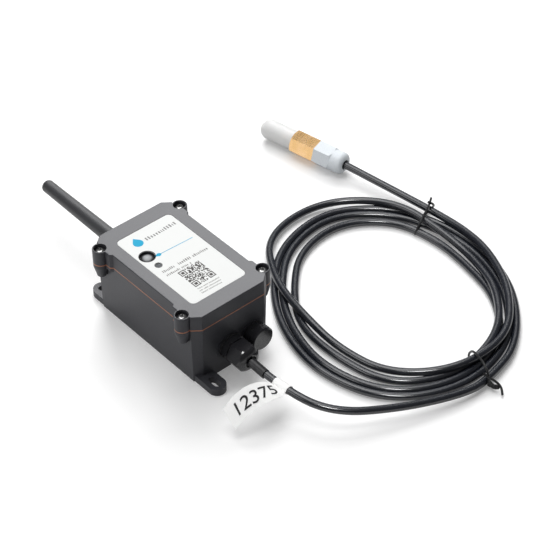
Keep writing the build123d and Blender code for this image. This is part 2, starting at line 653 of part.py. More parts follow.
def buffer_capacitor():
    can = cylinder(CAPACITOR_DIAMETER / 2, -CAPACITOR_LENGTH / 2, CAPACITOR_LENGTH / 2)
    can = fillet(can.edges(), CAPACITOR_EDGE)
    return Pos(CAPACITOR_X, 0, CAPACITOR_Z) * Rot(90, 0, 0) * can


def wire(points, radius, bend):
    """A round wire along straight runs joined by equal bends."""
    path = FilletPolyline(*points, radius=bend)
    start = Plane(origin=path @ 0, z_dir=path % 0)
    return sweep(start * Circle(radius), path=path)


def battery_leads():
    """One lead from each end of the cell, up to the plug."""
    front_y = -CELL_LENGTH / 2 - BATTERY_LEAD_FRONT
    rear_y = CELL_LENGTH / 2 + BATTERY_LEAD_REAR
    side_x = PLUG_X - BATTERY_LEAD_SIDE
    plug_low = BOARD_BOTTOM - PLUG_HEIGHT
    low, middle, crest, turn = [CELL_Z + rise for rise in BATTERY_LEAD_RISE]
    front = [
        (CELL_X, -CELL_LENGTH / 2, CELL_Z),
        (CELL_X, front_y, CELL_Z),
        (PLUG_X + PLUG_PIN, front_y, low),
        (PLUG_X + PLUG_PIN, PLUG_Y, middle),
        (PLUG_X + PLUG_PIN, PLUG_Y, plug_low),
    ]
    rear = [
        (CELL_X, CELL_LENGTH / 2, CELL_Z),
        (CELL_X, rear_y, CELL_Z),
        (side_x, rear_y, middle),
        (side_x, PLUG_Y + BATTERY_LEAD_TURN, crest),
        (PLUG_X - PLUG_PIN, PLUG_Y, turn),
        (PLUG_X - PLUG_PIN, PLUG_Y, plug_low),
    ]
    return [wire(front, WIRE_RADIUS, WIRE_BEND), wire(rear, WIRE_RADIUS, WIRE_BEND)]


def sensor_leads():
    """Four thin wires from the cable's end up to the terminal."""
    jacket_end = FRONT + GLAND_INSIDE
    rise_y = jacket_end + SENSOR_WIRE_REACH
    face = TERMINAL_Y - TERMINAL_DEPTH / 2
    entry_z = BOARD_TOP + TERMINAL_HEIGHT / 2
    leads = []
    for offset in terminal_offsets():
        near_x = GLAND_X + offset * SENSOR_WIRE_SPREAD
        pole_x = TERMINAL_X + offset
        points = [
            (near_x, jacket_end, GLAND_Z),
            (near_x, rise_y, GLAND_Z),
            (near_x, rise_y, GLAND_Z + SENSOR_WIRE_RISE),
            (pole_x, face - SENSOR_WIRE_LOOP, BOARD_BOTTOM - SENSOR_WIRE_DIP),
            (pole_x, face - SENSOR_WIRE_LOOP, entry_z),
            (pole_x, face, entry_z),
        ]
        leads.append(wire(points, SENSOR_WIRE_RADIUS, WIRE_BEND))
    return leads


def gland_body():
    """Flanged hexagon, thread into the housing and neck for the dome nut."""
    low = -GLAND_INSIDE
    flange_low = WASHER_HEIGHT
    flange_top = WASHER_HEIGHT + GLAND_FLANGE
    body = hexagon(GLAND_FLATS, flange_low, flange_top)
    body &= nut_corners(GLAND_FLATS, flange_low, flange_top, GLAND_BEVEL)
    body += cylinder(GLAND_THREAD / 2, low, flange_low)
    body += cylinder(GLAND_THREAD / 2, flange_top, flange_top + GLAND_NECK)
    body -= cylinder(CABLE_R + ENTRY_GAP, low, flange_top)
    body -= cylinder(CABLE_R + INSERT_WALL, flange_top - GLAND_SEAT, flange_top + GLAND_NECK)
    return on_front(body, GLAND_X, GLAND_Z)


def gland_washer():
    return on_front(ring(WASHER_DIAMETER / 2, GLAND_THREAD / 2, 0, WASHER_HEIGHT), GLAND_X, GLAND_Z)


def locknut(flats, thread, x, z):
    low = -WALL - LOCKNUT_HEIGHT
    nut = hexagon(flats, low, -WALL, LOCKNUT_TURN) - cylinder(thread / 2 + THREAD_CLEARANCE, low, -WALL)
    return on_front(nut, x, z)


def gland_insert():
    """Rubber sleeve that the dome nut squeezes on to the cable."""
    low = WASHER_HEIGHT + GLAND_FLANGE - GLAND_SEAT
    high = WASHER_HEIGHT + GLAND_FLANGE + GLAND_NUT_GAP + GLAND_NUT_LENGTH - GLAND_SINK
    neck_top = WASHER_HEIGHT + GLAND_FLANGE + GLAND_NECK
    sleeve = ring(CABLE_R + INSERT_WALL, CABLE_R, low, neck_top)
    sleeve += ring(GLAND_MOUTH / 2, CABLE_R, neck_top, high)
    return on_front(sleeve, GLAND_X, GLAND_Z)


def gland_nut():
    """Hexagon nut with a domed end and a round mouth."""
    low = WASHER_HEIGHT + GLAND_FLANGE + GLAND_NUT_GAP
    high = low + GLAND_NUT_LENGTH
    corner = GLAND_FLATS / math.sqrt(3) + CORNER_MARGIN
    shoulder = high - GLAND_DOME
    profile = [
        Line((0, 0, low), (corner, 0, low)),
        Line((corner, 0, low), (corner, 0, shoulder)),
        ThreePointArc((corner, 0, shoulder), (corner - 0.25 * GLAND_DOME, 0, high - 0.33 * GLAND_DOME),
                      (GLAND_MOUTH / 2 + GLAND_LIP, 0, high)),
        Line((GLAND_MOUTH / 2 + GLAND_LIP, 0, high), (0, 0, high)),
        Line((0, 0, high), (0, 0, low)),
    ]
    dome = revolve(make_face(Curve() + profile), axis=Axis.Z)
    nut = hexagon(GLAND_FLATS, low, high) & dome
    neck_top = WASHER_HEIGHT + GLAND_FLANGE + GLAND_NECK
    nut -= cylinder(GLAND_THREAD / 2 + THREAD_CLEARANCE, low, neck_top)
    nut -= cylinder(GLAND_MOUTH / 2, neck_top, high)
    return on_front(nut, GLAND_X, GLAND_Z)


def vent_plug():
    """Round vented head with slots round its foot, and a hollow thread."""
    low = WASHER_HEIGHT
    high = low + VENT_HEAD_HEIGHT
    radius = VENT_HEAD_DIAMETER / 2
    edge = [(radius, low), (radius, high - VENT_EDGE), (radius - VENT_EDGE, high)]
    head = turned([(0, low)] + edge + [(0, high)])
    slot_low = low + VENT_SLOT_HEIGHT
    slot = block(2 * VENT_SLOT_DEPTH, VENT_SLOT_WIDTH, slot_low, slot_low + VENT_SLOT_HEIGHT)
    slot = Pos(radius, 0, 0) * slot
    for index in range(VENT_SLOTS):
        head -= Rot(0, 0, index * 360 / VENT_SLOTS) * slot
    head += cylinder(VENT_THREAD / 2, -VENT_INSIDE, low)
    head -= cylinder(VENT_BORE / 2, -VENT_INSIDE, slot_low)
    return on_front(head, VENT_X, VENT_Z)


def vent_washer():
    washer = ring(VENT_HEAD_DIAMETER / 2 - VENT_WASHER_INSET, VENT_THREAD / 2, 0, WASHER_HEIGHT)
    return on_front(washer, VENT_X, VENT_Z)


def antenna_connector():
    """Threaded coaxial socket through the rear wall, flanged inside."""
    flange_low = -WALL - CONNECTOR_FLANGE
    socket = cylinder(CONNECTOR_DIAMETER / 2, -WALL - CONNECTOR_INSIDE, CONNECTOR_OUTSIDE)
    socket += hexagon(CONNECTOR_FLANGE_FLATS, flange_low, -WALL)
    socket -= cylinder(SOCKET_DIAMETER / 2, CONNECTOR_OUTSIDE - SOCKET_DEPTH, CONNECTOR_OUTSIDE)
    return on_rear(socket, ANTENNA_Z)


def antenna_washer():
    bore = CONNECTOR_DIAMETER / 2 + THREAD_CLEARANCE
    washer = ring(ANTENNA_WASHER_DIAMETER / 2, bore, 0, ANTENNA_WASHER_HEIGHT)
    return on_rear(washer, ANTENNA_Z)


def antenna_nut():
    low = ANTENNA_WASHER_HEIGHT
    nut = hexagon(ANTENNA_NUT_FLATS, low, low + ANTENNA_NUT_HEIGHT)
    nut -= cylinder(CONNECTOR_DIAMETER / 2 + THREAD_CLEARANCE, low, low + ANTENNA_NUT_HEIGHT)
    return on_rear(nut, ANTENNA_Z)


COLLAR_LOW = ANTENNA_WASHER_HEIGHT + ANTENNA_NUT_HEIGHT + COLLAR_GAP


def antenna_collar():
    """Coupling nut that screws the antenna on to the socket."""
    collar = hexagon(COLLAR_FLATS, COLLAR_LOW, COLLAR_LOW + COLLAR_LENGTH)
    bore = CONNECTOR_DIAMETER / 2 + THREAD_CLEARANCE
    collar -= cylinder(bore, COLLAR_LOW, CONNECTOR_OUTSIDE + COLLAR_GAP)
    return on_rear(collar, ANTENNA_Z)


def antenna():
    """Moulded rod, slightly tapered, with a rounded tip."""
    low = COLLAR_LOW + COLLAR_LENGTH
    high = ANTENNA_TIP_Y - REAR
    base_r = ANTENNA_BASE_DIAMETER / 2
    tip_r = ANTENNA_TIP_DIAMETER / 2
    nose = 0.55 * tip_r
    profile = [
        Line((0, 0, low), (base_r, 0, low)),
        Line((base_r, 0, low), (tip_r, 0, high - nose)),
        ThreePointArc((tip_r, 0, high - nose), (tip_r * 0.8, 0, high - 0.28 * nose),
                      (0.35 * tip_r, 0, high)),
        Line((0.35 * tip_r, 0, high), (0, 0, high)),
        Line((0, 0, high), (0, 0, low)),
    ]
    return on_rear(revolve(make_face(Curve() + profile), axis=Axis.Z), ANTENNA_Z)


def antenna_pigtail():
    """Thin coaxial lead from the socket up to the radio module."""
    start_y = REAR - WALL - CONNECTOR_INSIDE
    loop_z = BOARD_TOP + MODULE_BASE + SHIELD_HEIGHT + COAX_LOOP
    end_y = MODULE_Y + MODULE_LENGTH / 2 + COAX_END
    points = [
        (0, start_y, ANTENNA_Z),
        (0, start_y - COAX_REACH, ANTENNA_Z),
        (0, start_y - COAX_REACH, ANTENNA_Z + COAX_RISE),
        (0, start_y + COAX_BACK, BOARD_BOTTOM - COAX_DIP),
        (0, start_y + COAX_BACK, loop_z),
        (MODULE_X / 2, end_y, loop_z),
        (MODULE_X / 2, end_y, BOARD_TOP),
    ]
    return wire(points, COAX_RADIUS, WIRE_BEND)


def axis_frame(origin, target):
    """A frame whose Z axis runs from one point to another."""
    direction = Vector(*target) - Vector(*origin)
    return Plane(origin=origin, x_dir=(1, 0, 0), z_dir=direction)


LEAD_FRAME = axis_frame(LEAD_ROUTE[0], LEAD_ROUTE[1])


def cable_entry():
    """The end of the cable inside the gland."""
    out = FRONT - LEAD_START[1]
    end = on_front(cylinder(CABLE_R - THREAD_CLEARANCE, -GLAND_INSIDE, out + CABLE_R), GLAND_X, GLAND_Z)
    return end - LEAD_FRAME * cylinder(CABLE_DIAMETER, 0, CABLE_DIAMETER)


def cable_sleeve():
    return LEAD_FRAME * ring(CABLE_R + SLEEVE_THICKNESS, CABLE_R, SLEEVE_GAP, SLEEVE_LENGTH)


def cable_flag():
    """A tape marker: wrapped round the cable, its free end drooping to the left."""
    inner_r = CABLE_R + FLAG_SLACK
    half = FLAG_WIDTH / 2
    wrap = ring(inner_r + FLAG_THICKNESS, inner_r, -half, half)
    top = [(-inner_r - FLAG_THICKNESS / 2, 0)] + FLAG_DROP
    low = [(x, y - FLAG_THICKNESS) for x, y in top]
    edges = Curve() + [Spline(*top), Line(top[-1], low[-1]), Spline(*low[::-1]), Line(low[0], top[0])]
    sheet = Pos(0, 0, -half) * extrude(make_face(edges), amount=FLAG_WIDTH)
    path = FilletPolyline(*LEAD_ROUTE, radius=bend_radii(LEAD_ROUTE))
    place = (FLAG_START + half) / path.length
    frame = Plane(origin=path @ place, x_dir=(1, 0, 0), z_dir=path % place)
    return frame * (wrap + (sheet - cylinder(inner_r + FLAG_THICKNESS / 2, -half, half)))


def bend_radii(points):
    """The largest arc at each corner of a route: 0.45 of the shorter run over tan of half the turn."""
    radii = []
    for before, corner, after in zip(points, points[1:], points[2:]):
        run_in = Vector(*corner) - Vector(*before)
        run_out = Vector(*after) - Vector(*corner)
        turn = math.radians(run_in.get_angle(run_out))
        radii.append(0.45 * min(run_in.length, run_out.length) / math.tan(turn / 2))
    return radii


def tube(points):
    """The solid of a stretch of cable along a route with the largest arcs."""
    path = FilletPolyline(*points, radius=bend_radii(points))
    return sweep(Plane(origin=path @ 0, z_dir=path % 0) * Circle(CABLE_R), path=path)


def cable_tube(name, points):
    """A stretch of cable, with its radii, length and volume printed."""
    solid = tube(points)
    length = FilletPolyline(*points, radius=bend_radii(points)).length
    expected = math.pi * CABLE_R ** 2 * length
    print(name, "radii", [round(radius, 1) for radius in bend_radii(points)], "length", round(length, 1),
          "volume ratio", round(solid.volume / expected, 4))
    return solid


def coil_point(angle_deg, offset):
    """A point at an angle about the coil's centre, set inwards from the oval."""
    local = math.radians(angle_deg - COIL_TILT)
    reach_x = abs(math.cos(local) / COIL_SEMI_X) ** COIL_SQUARENESS
    reach_y = abs(math.sin(local) / COIL_SEMI_Y) ** COIL_SQUARENESS
    radius = (reach_x + reach_y) ** (-1 / COIL_SQUARENESS) - offset
    angle = math.radians(angle_deg)
    return (COIL_X + radius * math.cos(angle), COIL_Y + radius * math.sin(angle))


def cable_coil():
    """The outer shape of the wound cable: a low oval ring."""
    columns = list(zip(*COIL_TURNS))
    angles = [COIL_START_ANGLE + COIL_STEP * index for index in range(len(columns))]
    outer = [coil_point(angle, min(column) - CABLE_R) for angle, column in zip(angles, columns)]
    inner = [coil_point(angle, max(column) + CABLE_R) for angle, column in zip(angles, columns)]
    band = make_face(Spline(*outer, periodic=True)) - make_face(Spline(*inner, periodic=True))
    ring_solid = extrude(band, amount=COIL_HEIGHT)
    ring_solid = fillet(ring_solid.edges().filter_by(GeomType.BSPLINE), COIL_EDGE)
    for centre, angle, span in (UPPER_TIE, LOWER_TIE):
        groove = Box(span, 2 * TIE_RADIUS + TIE_GAP, 2 * TIE_RADIUS + TIE_GAP)
        ring_solid -= Pos(centre[0], centre[1], TIE_RADIUS) * Rot(0, 0, angle) * groove
    return ring_solid


UPPER_TIE = (UPPER_TIE_CENTRE, UPPER_TIE_ANGLE, UPPER_TIE_SPAN)
LOWER_TIE = (LOWER_TIE_CENTRE, LOWER_TIE_ANGLE, LOWER_TIE_SPAN)


def tie_loop(centre, angle, span):
    """A closed loop of wire round the bundle, standing across it."""
    frame = Plane(origin=(centre[0], centre[1], TIE_RADIUS + COIL_HEIGHT / 2),
                  x_dir=(math.cos(math.radians(angle)), math.sin(math.radians(angle)), 0),
                  z_dir=(math.sin(math.radians(angle)), -math.cos(math.radians(angle)), 0))
    loop = RectangleRounded(span, COIL_HEIGHT, TIE_BEND).wire()
    path = frame * loop
    section = Plane(origin=path @ 0, z_dir=path % 0) * Circle(TIE_RADIUS)
    return sweep(section, path=path)


def coil_tie(centre, angle, span):
    """The loop and its two short twisted ends, which point outwards."""
    heading = Vector(math.cos(math.radians(angle)), math.sin(math.radians(angle)), 0)
    start = Vector(centre[0], centre[1], TIE_RADIUS + COIL_HEIGHT / 2) + heading * (span / 2)
    tail = cylinder(TIE_TAIL_RADIUS, -TIE_RADIUS / 2, TIE_TAIL)
    return tie_loop(centre, angle, span) + axis_frame(tuple(start), tuple(start + heading)) * tail


PROBE_AXIS_Z = PROBE_FLATS / math.sqrt(3) * math.cos(math.radians(30 - PROBE_TURN))
PROBE_DIRECTION = (math.cos(math.radians(PROBE_HEADING)), math.sin(math.radians(PROBE_HEADING)), 0)
PROBE_ORIGIN = (PROBE_EXIT[0], PROBE_EXIT[1], PROBE_AXIS_Z)
PROBE_FRAME = Plane(origin=PROBE_ORIGIN, x_dir=(0, 0, 1), z_dir=PROBE_DIRECTION)
FITTING_LOW = PROBE_NUT_LENGTH
FITTING_HIGH = FITTING_LOW + FITTING_LENGTH


def tail_route():
    """From the coil up to the probe, the last run in line with it."""
    corner = (PROBE_EXIT[0] - TAIL_STRAIGHT * PROBE_DIRECTION[0],
              PROBE_EXIT[1] - TAIL_STRAIGHT * PROBE_DIRECTION[1], PROBE_AXIS_Z - PROBE_RISE)
    return TAIL_POINTS + [corner, PROBE_ORIGIN]


def probe_nut():
    """Dome nut of the probe: hexagon first, then round to the cable's mouth."""
    corner = PROBE_FLATS / math.sqrt(3) + CORNER_MARGIN
    round_r = PROBE_FLATS / 2
    dome_end = PROBE_NUT_LENGTH - PROBE_NUT_HEX
    profile = [
        Line((0, 0, 0), (PROBE_MOUTH / 2 + PROBE_LIP, 0, 0)),
        ThreePointArc((PROBE_MOUTH / 2 + PROBE_LIP, 0, 0), (round_r - 1.0, 0, 0.9),
                      (round_r, 0, PROBE_NUT_DOME)),
        Line((round_r, 0, PROBE_NUT_DOME), (round_r, 0, dome_end)),
        Line((round_r, 0, dome_end), (corner, 0, dome_end + 1.2)),
        Line((corner, 0, dome_end + 1.2), (corner, 0, PROBE_NUT_LENGTH)),
        Line((corner, 0, PROBE_NUT_LENGTH), (0, 0, PROBE_NUT_LENGTH)),
        Line((0, 0, PROBE_NUT_LENGTH), (0, 0, 0)),
    ]
    envelope = revolve(make_face(Curve() + profile), axis=Axis.Z)
    nut = hexagon(PROBE_FLATS, 0, PROBE_NUT_LENGTH, PROBE_TURN) & envelope
    nut -= cylinder(PROBE_MOUTH / 2, 0, FITTING_LOW)
    nut -= cylinder(NECK_DIAMETER / 2 + THREAD_CLEARANCE, FITTING_LOW - NECK_LENGTH, FITTING_LOW)
    return PROBE_FRAME * nut


def probe_seal():
    """Rubber ring between the nut's mouth and the cable."""
    return PROBE_FRAME * ring(PROBE_MOUTH / 2, CABLE_R, PROBE_SEAL_INSET, FITTING_LOW - NECK_LENGTH)


def probe_cable_end():
    """The end of the cable inside the probe."""
    route = tail_route()
    end = PROBE_FRAME * cylinder(CABLE_R - THREAD_CLEARANCE, -CABLE_R, FITTING_LOW + FITTING_LENGTH / 2)
    return end - axis_frame(route[-1], route[-2]) * cylinder(CABLE_DIAMETER, 0, CABLE_DIAMETER)


def probe_fitting():
    """Brass hexagon with a threaded neck for the nut and a spigot for the cap."""
    body = hexagon(PROBE_FLATS, FITTING_LOW, FITTING_HIGH, PROBE_TURN)
    body &= nut_corners(PROBE_FLATS, FITTING_LOW, FITTING_HIGH, PROBE_BEVEL)
    body += cylinder(NECK_DIAMETER / 2, FITTING_LOW - NECK_LENGTH, FITTING_LOW)
    body += cylinder(SPIGOT_DIAMETER / 2, FITTING_HIGH, FITTING_HIGH + SPIGOT_LENGTH)
    body -= cylinder(FITTING_BORE / 2, FITTING_LOW - NECK_LENGTH, FITTING_HIGH + SPIGOT_LENGTH)
    return PROBE_FRAME * body


def dome_profile(radius, low, high, nose):
    """The half outline of a round-ended cap as a face."""
    side = (radius, 0, high - nose)
    crown = (radius - nose, 0, high)
    edges = [
        Line((0, 0, low), (radius, 0, low)),
        Line((radius, 0, low), side),
        ThreePointArc(side, (radius - 0.29 * nose, 0, high - 0.29 * nose), crown),
        Line(crown, (0, 0, high)),
        Line((0, 0, high), (0, 0, low)),
    ]
    return make_face(Curve() + edges)


def probe_cap():
    """Translucent cap over the sensing element, hollow and round-ended."""
    radius = CAP_DIAMETER / 2
    high = FITTING_HIGH + CAP_LENGTH
    spigot_high = FITTING_HIGH + SPIGOT_LENGTH
    outer = revolve(dome_profile(radius, FITTING_HIGH, high, CAP_NOSE), axis=Axis.Z)
    hollow = dome_profile(radius - CAP_WALL, spigot_high, high - CAP_WALL, CAP_NOSE - CAP_WALL)
    cap = outer - revolve(hollow, axis=Axis.Z)
    cap -= cylinder(SPIGOT_DIAMETER / 2 + SPIGOT_GAP, FITTING_HIGH, spigot_high)
    return PROBE_FRAME * cap


def probe_board():
    low = FITTING_HIGH + SPIGOT_LENGTH - PROBE_BOARD_HOLD
    board = block(PROBE_BOARD_THICKNESS, PROBE_BOARD_WIDTH, low, low + PROBE_BOARD_LENGTH)
    return PROBE_FRAME * board


def probe_sensor():
    chip_high = FITTING_HIGH + SPIGOT_LENGTH - PROBE_BOARD_HOLD + PROBE_BOARD_LENGTH - PROBE_CHIP_INSET
    chip = block(PROBE_CHIP_HEIGHT, PROBE_CHIP, chip_high - PROBE_CHIP, chip_high)
    lift = (PROBE_BOARD_THICKNESS + PROBE_CHIP_HEIGHT) / 2
    return PROBE_FRAME * (Pos(lift, 0, 0) * chip)


def write(name, shape):
    """Write one node; a list is a group of separate solids."""
    solids = []
    for item in shape if isinstance(shape, list) else [shape]:
        solids.extend(item.solids())
    model = solids[0] if len(solids) == 1 else Compound(children=solids)
    export_step(model, f"parts/{name}.step")


NODES = {
    "base_shell": base_shell,
    "lid": lid,
    "lid_gasket": lid_gasket,
    "lid_screws": lid_screws,
    "thread_inserts": thread_inserts,
    "front_label": front_label,
    "act_button": act_button,
    "switch_plunger": switch_plunger,
    "tactile_switch": tactile_switch,
    "status_window": status_window,
    "status_led": status_led,
    "main_board": main_board,
    "board_screws": board_screws,
    "radio_module": radio_module,
    "screw_terminal": screw_terminal,
    "battery_plug": battery_plug,
    "battery_cell": battery_cell,
    "battery_leads": battery_leads,
    "buffer_capacitor": buffer_capacitor,
    "sensor_leads": sensor_leads,
    "gland_body": gland_body,
    "gland_washer": gland_washer,
    "gland_locknut": lambda: locknut(LOCKNUT_FLATS, GLAND_THREAD, GLAND_X, GLAND_Z),
    "gland_insert": gland_insert,
    "gland_nut": gland_nut,
    "vent_plug": vent_plug,
    "vent_washer": vent_washer,
    "vent_locknut": lambda: locknut(VENT_LOCKNUT_FLATS, VENT_THREAD, VENT_X, VENT_Z),
    "antenna_connector": antenna_connector,
    "antenna_washer": antenna_washer,
    "antenna_nut": antenna_nut,
    "antenna_collar": antenna_collar,
    "antenna": antenna,
    "antenna_pigtail": antenna_pigtail,
    "cable_entry": cable_entry,
    "cable_sleeve": cable_sleeve,
    "cable_lead": lambda: cable_tube("cable_lead", LEAD_ROUTE),
    "cable_coil": cable_coil,
    "cable_tail": lambda: cable_tube("cable_tail", tail_route()),
    "cable_flag": cable_flag,
    "coil_tie_upper": lambda: coil_tie(*UPPER_TIE),
    "coil_tie_lower": lambda: coil_tie(*LOWER_TIE),
    "probe_nut": probe_nut,
    "probe_seal": probe_seal,
    "probe_cable_end": probe_cable_end,
    "probe_fitting": probe_fitting,
    "probe_cap": probe_cap,
    "probe_board": probe_board,
    "probe_sensor": probe_sensor,
}

os.makedirs("parts", exist_ok=True)
for node_name, make_node in NODES.items():
    write(node_name, make_node())
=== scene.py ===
# %% [markdown]
# # A temperature and humidity sensor with a wired probe
#
# The real object is a small charcoal box with a white label, a rod antenna and a cable gland. A black
# cable leaves the gland, is wound into a loose hank of a bit more than four turns, and ends in a probe
# with a brass hexagon and a white cap. The box, screws, gland and probe come from the measured CAD frame.
# What is soft or printed is made here: the cable, its flag and ties, the label's print, and every finish.

# %% The frame
import math
import random

import bpy
from mathutils import Matrix, Vector


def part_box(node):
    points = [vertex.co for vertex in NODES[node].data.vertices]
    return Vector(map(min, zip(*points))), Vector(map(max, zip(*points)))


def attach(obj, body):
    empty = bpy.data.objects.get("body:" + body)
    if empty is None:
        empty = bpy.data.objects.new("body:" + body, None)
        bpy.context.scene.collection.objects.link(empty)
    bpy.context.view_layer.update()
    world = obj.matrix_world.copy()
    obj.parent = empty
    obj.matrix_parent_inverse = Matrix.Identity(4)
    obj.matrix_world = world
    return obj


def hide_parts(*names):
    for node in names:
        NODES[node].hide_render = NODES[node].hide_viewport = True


MM = 0.001
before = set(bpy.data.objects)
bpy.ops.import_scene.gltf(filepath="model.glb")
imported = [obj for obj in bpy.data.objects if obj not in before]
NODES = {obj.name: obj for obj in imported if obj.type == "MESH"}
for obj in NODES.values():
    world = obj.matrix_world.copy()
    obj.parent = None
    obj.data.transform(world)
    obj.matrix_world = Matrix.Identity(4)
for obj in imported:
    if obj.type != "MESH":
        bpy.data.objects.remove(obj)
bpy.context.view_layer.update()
bpy.ops.object.select_all(action="DESELECT")

# %% [markdown]
# ## The camera
#
# A camera can be placed by eye, or worked out from points whose real places are known. This one was
# worked out, so it is given by its place and its three directions: what is right, up and back for it.
# The lens is long, because the object looks almost without perspective.

# %% Camera
CAMERA_PLACE = Vector((-486.59, -643.77, 756.35)) * MM
CAMERA_RIGHT = Vector((0.75355, -0.65736, -0.00601)).normalized()
CAMERA_BACK = Vector((-0.48671, -0.56403, 0.66708)).normalized()
CAMERA_UP = CAMERA_BACK.cross(CAMERA_RIGHT).normalized()
LENS_MM = 126.8

bpy.ops.object.camera_add()
camera = bpy.context.object
camera.name = "camera"
turn = Matrix((CAMERA_RIGHT, CAMERA_UP, CAMERA_BACK)).transposed().to_4x4()
camera.matrix_world = Matrix.Translation(CAMERA_PLACE) @ turn
camera.data.lens = LENS_MM
camera.data.sensor_width = 36.0
camera.data.sensor_fit = "HORIZONTAL"
camera.data.clip_start = 0.05
camera.data.clip_end = 20.0
bpy.context.scene.camera = camera
bpy.context.scene.view_settings.view_transform = "Standard"
print("camera", [round(value, 3) for value in camera.location])

# %% [markdown]
# ## Writing shader maths as Python
#
# A material is a net of small nodes. Wiring each by hand hides the idea, so this class wraps a socket and
# lets plus and times build the Math nodes. Every other node comes from one method that takes the node's type,
# its settings, and the values or links of its sockets.


# %% A wrapper for sockets
class Wire:
    """A socket's output, with arithmetic that adds Math nodes to its tree."""

    def __init__(self, net, socket):
        self.net = net
        self.socket = socket

    def math(self, operation, first, second):
        return self.net.add("ShaderNodeMath", {"operation": operation}, {0: first, 1: second})

    def __add__(self, other):
        return self.math("ADD", self, other)

    def __radd__(self, other):
        return self.math("ADD", other, self)

    def __mul__(self, other):
        return self.math("MULTIPLY", self, other)

    def __rmul__(self, other):
        return self.math("MULTIPLY", other, self)

    def output(self, name):
        """Another output of the same node."""
        return Wire(self.net, self.socket.node.outputs[name])


# %% A material's net
class Net:
    """A material's node tree, with its shader and the few nodes that the finishes here share."""

    def __init__(self, name):
        self.material = bpy.data.materials.new(name)
        self.material.use_nodes = True
        self.tree = self.material.node_tree
        self.shader = self.tree.nodes["Principled BSDF"]
        self.out = self.tree.nodes["Material Output"]

    def add(self, kind, settings=None, inputs=None, output=0):
        """A node of one type, with its settings made first and then its sockets set or linked."""
        node = self.tree.nodes.new(kind)
        for key, value in (settings or {}).items():
            if key == "ramp":
                self.set_ramp(node.color_ramp, value)
            else:
                setattr(node, key, value)
        for key, value in (inputs or {}).items():
            self.join(value, node.inputs[key])
        return Wire(self, node.outputs[output])

    def set_ramp(self, ramp, stops):
        """Give a colour ramp its stops, as pairs of place and colour."""
        while len(ramp.elements) < len(stops):
            ramp.elements.new(0.5)
        for element, (place, colour) in zip(ramp.elements, stops):
            element.position = place
            element.color = (*colour, 1.0)

    def join(self, value, socket):
        """Link a wire to a socket, or write a plain value on it."""
        if isinstance(value, Wire):
            self.tree.links.new(value.socket, socket)
        else:
            socket.default_value = value

    def set(self, **values):
        """Set or link the shader's own sockets; an underscore stands for a space."""
        for key, value in values.items():
            self.join(value, self.shader.inputs[key.replace("_", " ")])

    def place(self, turn=(0.0, 0.0, 0.0), shift=(0.0, 0.0, 0.0)):
        """Object coordinates, turned and shifted."""
        where = self.add("ShaderNodeTexCoord", output="Object")
        return self.add("ShaderNodeMapping", None, {"Vector": where, "Rotation": turn, "Location": shift})

    def noise(self, where, scale, detail=2.0, rough=0.5):
        """A cloudy pattern; the scale is in patches per metre."""
        return self.add("ShaderNodeTexNoise", None, {"Vector": where, "Scale": scale, "Detail": detail,
                                                     "Roughness": rough})

    def ramp(self, value, stops):
        """A colour that changes with a value."""
        return self.add("ShaderNodeValToRGB", {"ramp": stops}, {"Fac": value})

    def bump(self, height, depth_mm):
        """A surface that rises and falls by a depth."""
        return self.add("ShaderNodeBump", None, {"Height": height, "Distance": depth_mm * MM})


# %% [markdown]
# ## The finishes
#
# Moulded plastic is never one flat colour: the tool leaves a fine texture that breaks up the highlight, and
# handling leaves slightly shinier patches. Each finish below starts from its colour and roughness, adds a
# grain at the real size, and lets a slow noise move the roughness a little.


# %% Moulded and coated surfaces
PATCHES_PER_METRE = 45.0
DARK_STOP, LIGHT_STOP = 0.35, 0.65


def moulded(name, dark, light, rough, grain_mm, depth_mm, patch=0.06):
    """A moulded surface: two close colours, a fine grain and shinier patches."""
    net = Net(name)
    where = net.place()
    grain = net.noise(where, 1.0 / (grain_mm * MM), 3.0, 0.6)
    patches = net.noise(where, PATCHES_PER_METRE)
    net.set(Base_Color=net.ramp(grain, [(DARK_STOP, dark), (LIGHT_STOP, light)]))
    net.set(Roughness=patches * patch + (rough - patch / 2))
    net.set(Normal=net.bump(grain, depth_mm))
    return net


housing_plastic = moulded("housing plastic", (0.039, 0.040, 0.048), (0.057, 0.058, 0.067), 0.48, 0.35, 0.012)
housing_plastic.set(Specular_IOR_Level=0.4)
gland_plastic = moulded("gland nylon", (0.018, 0.018, 0.021), (0.028, 0.028, 0.032), 0.18, 0.5, 0.004, 0.04)
gland_plastic.set(Specular_IOR_Level=0.5)
seal_rubber = moulded("seal rubber", (0.012, 0.012, 0.013), (0.020, 0.020, 0.021), 0.6, 0.3, 0.01)
antenna_rubber = moulded("antenna rubber", (0.030, 0.031, 0.034), (0.046, 0.047, 0.051), 0.42, 0.3, 0.01)
gasket_rubber = moulded("gasket silicone", (0.44, 0.17, 0.095), (0.52, 0.215, 0.125), 0.5, 0.4, 0.008)
cable_jacket = moulded("cable jacket", (0.011, 0.013, 0.019), (0.016, 0.019, 0.027), 0.21, 0.9, 0.002, 0.04)
cable_jacket.set(Specular_IOR_Level=0.8)
sleeve_shrink = moulded("shrink sleeve", (0.016, 0.016, 0.018), (0.024, 0.024, 0.027), 0.36, 0.8, 0.02)
tie_coat = moulded("tie coating", (0.012, 0.012, 0.013), (0.020, 0.020, 0.022), 0.4, 0.4, 0.01)
label_film = moulded("label film", (0.80, 0.81, 0.80), (0.83, 0.84, 0.83), 0.42, 0.25, 0.003)
flag_film = moulded("flag film", (0.90, 0.90, 0.89), (0.94, 0.94, 0.93), 0.4, 0.5, 0.004)
flag_film.set(Subsurface_Weight=0.6, Subsurface_Radius=(0.004, 0.004, 0.004))
grey_nylon = moulded("grey nylon", (0.66, 0.70, 0.74), (0.73, 0.77, 0.80), 0.42, 0.6, 0.01)
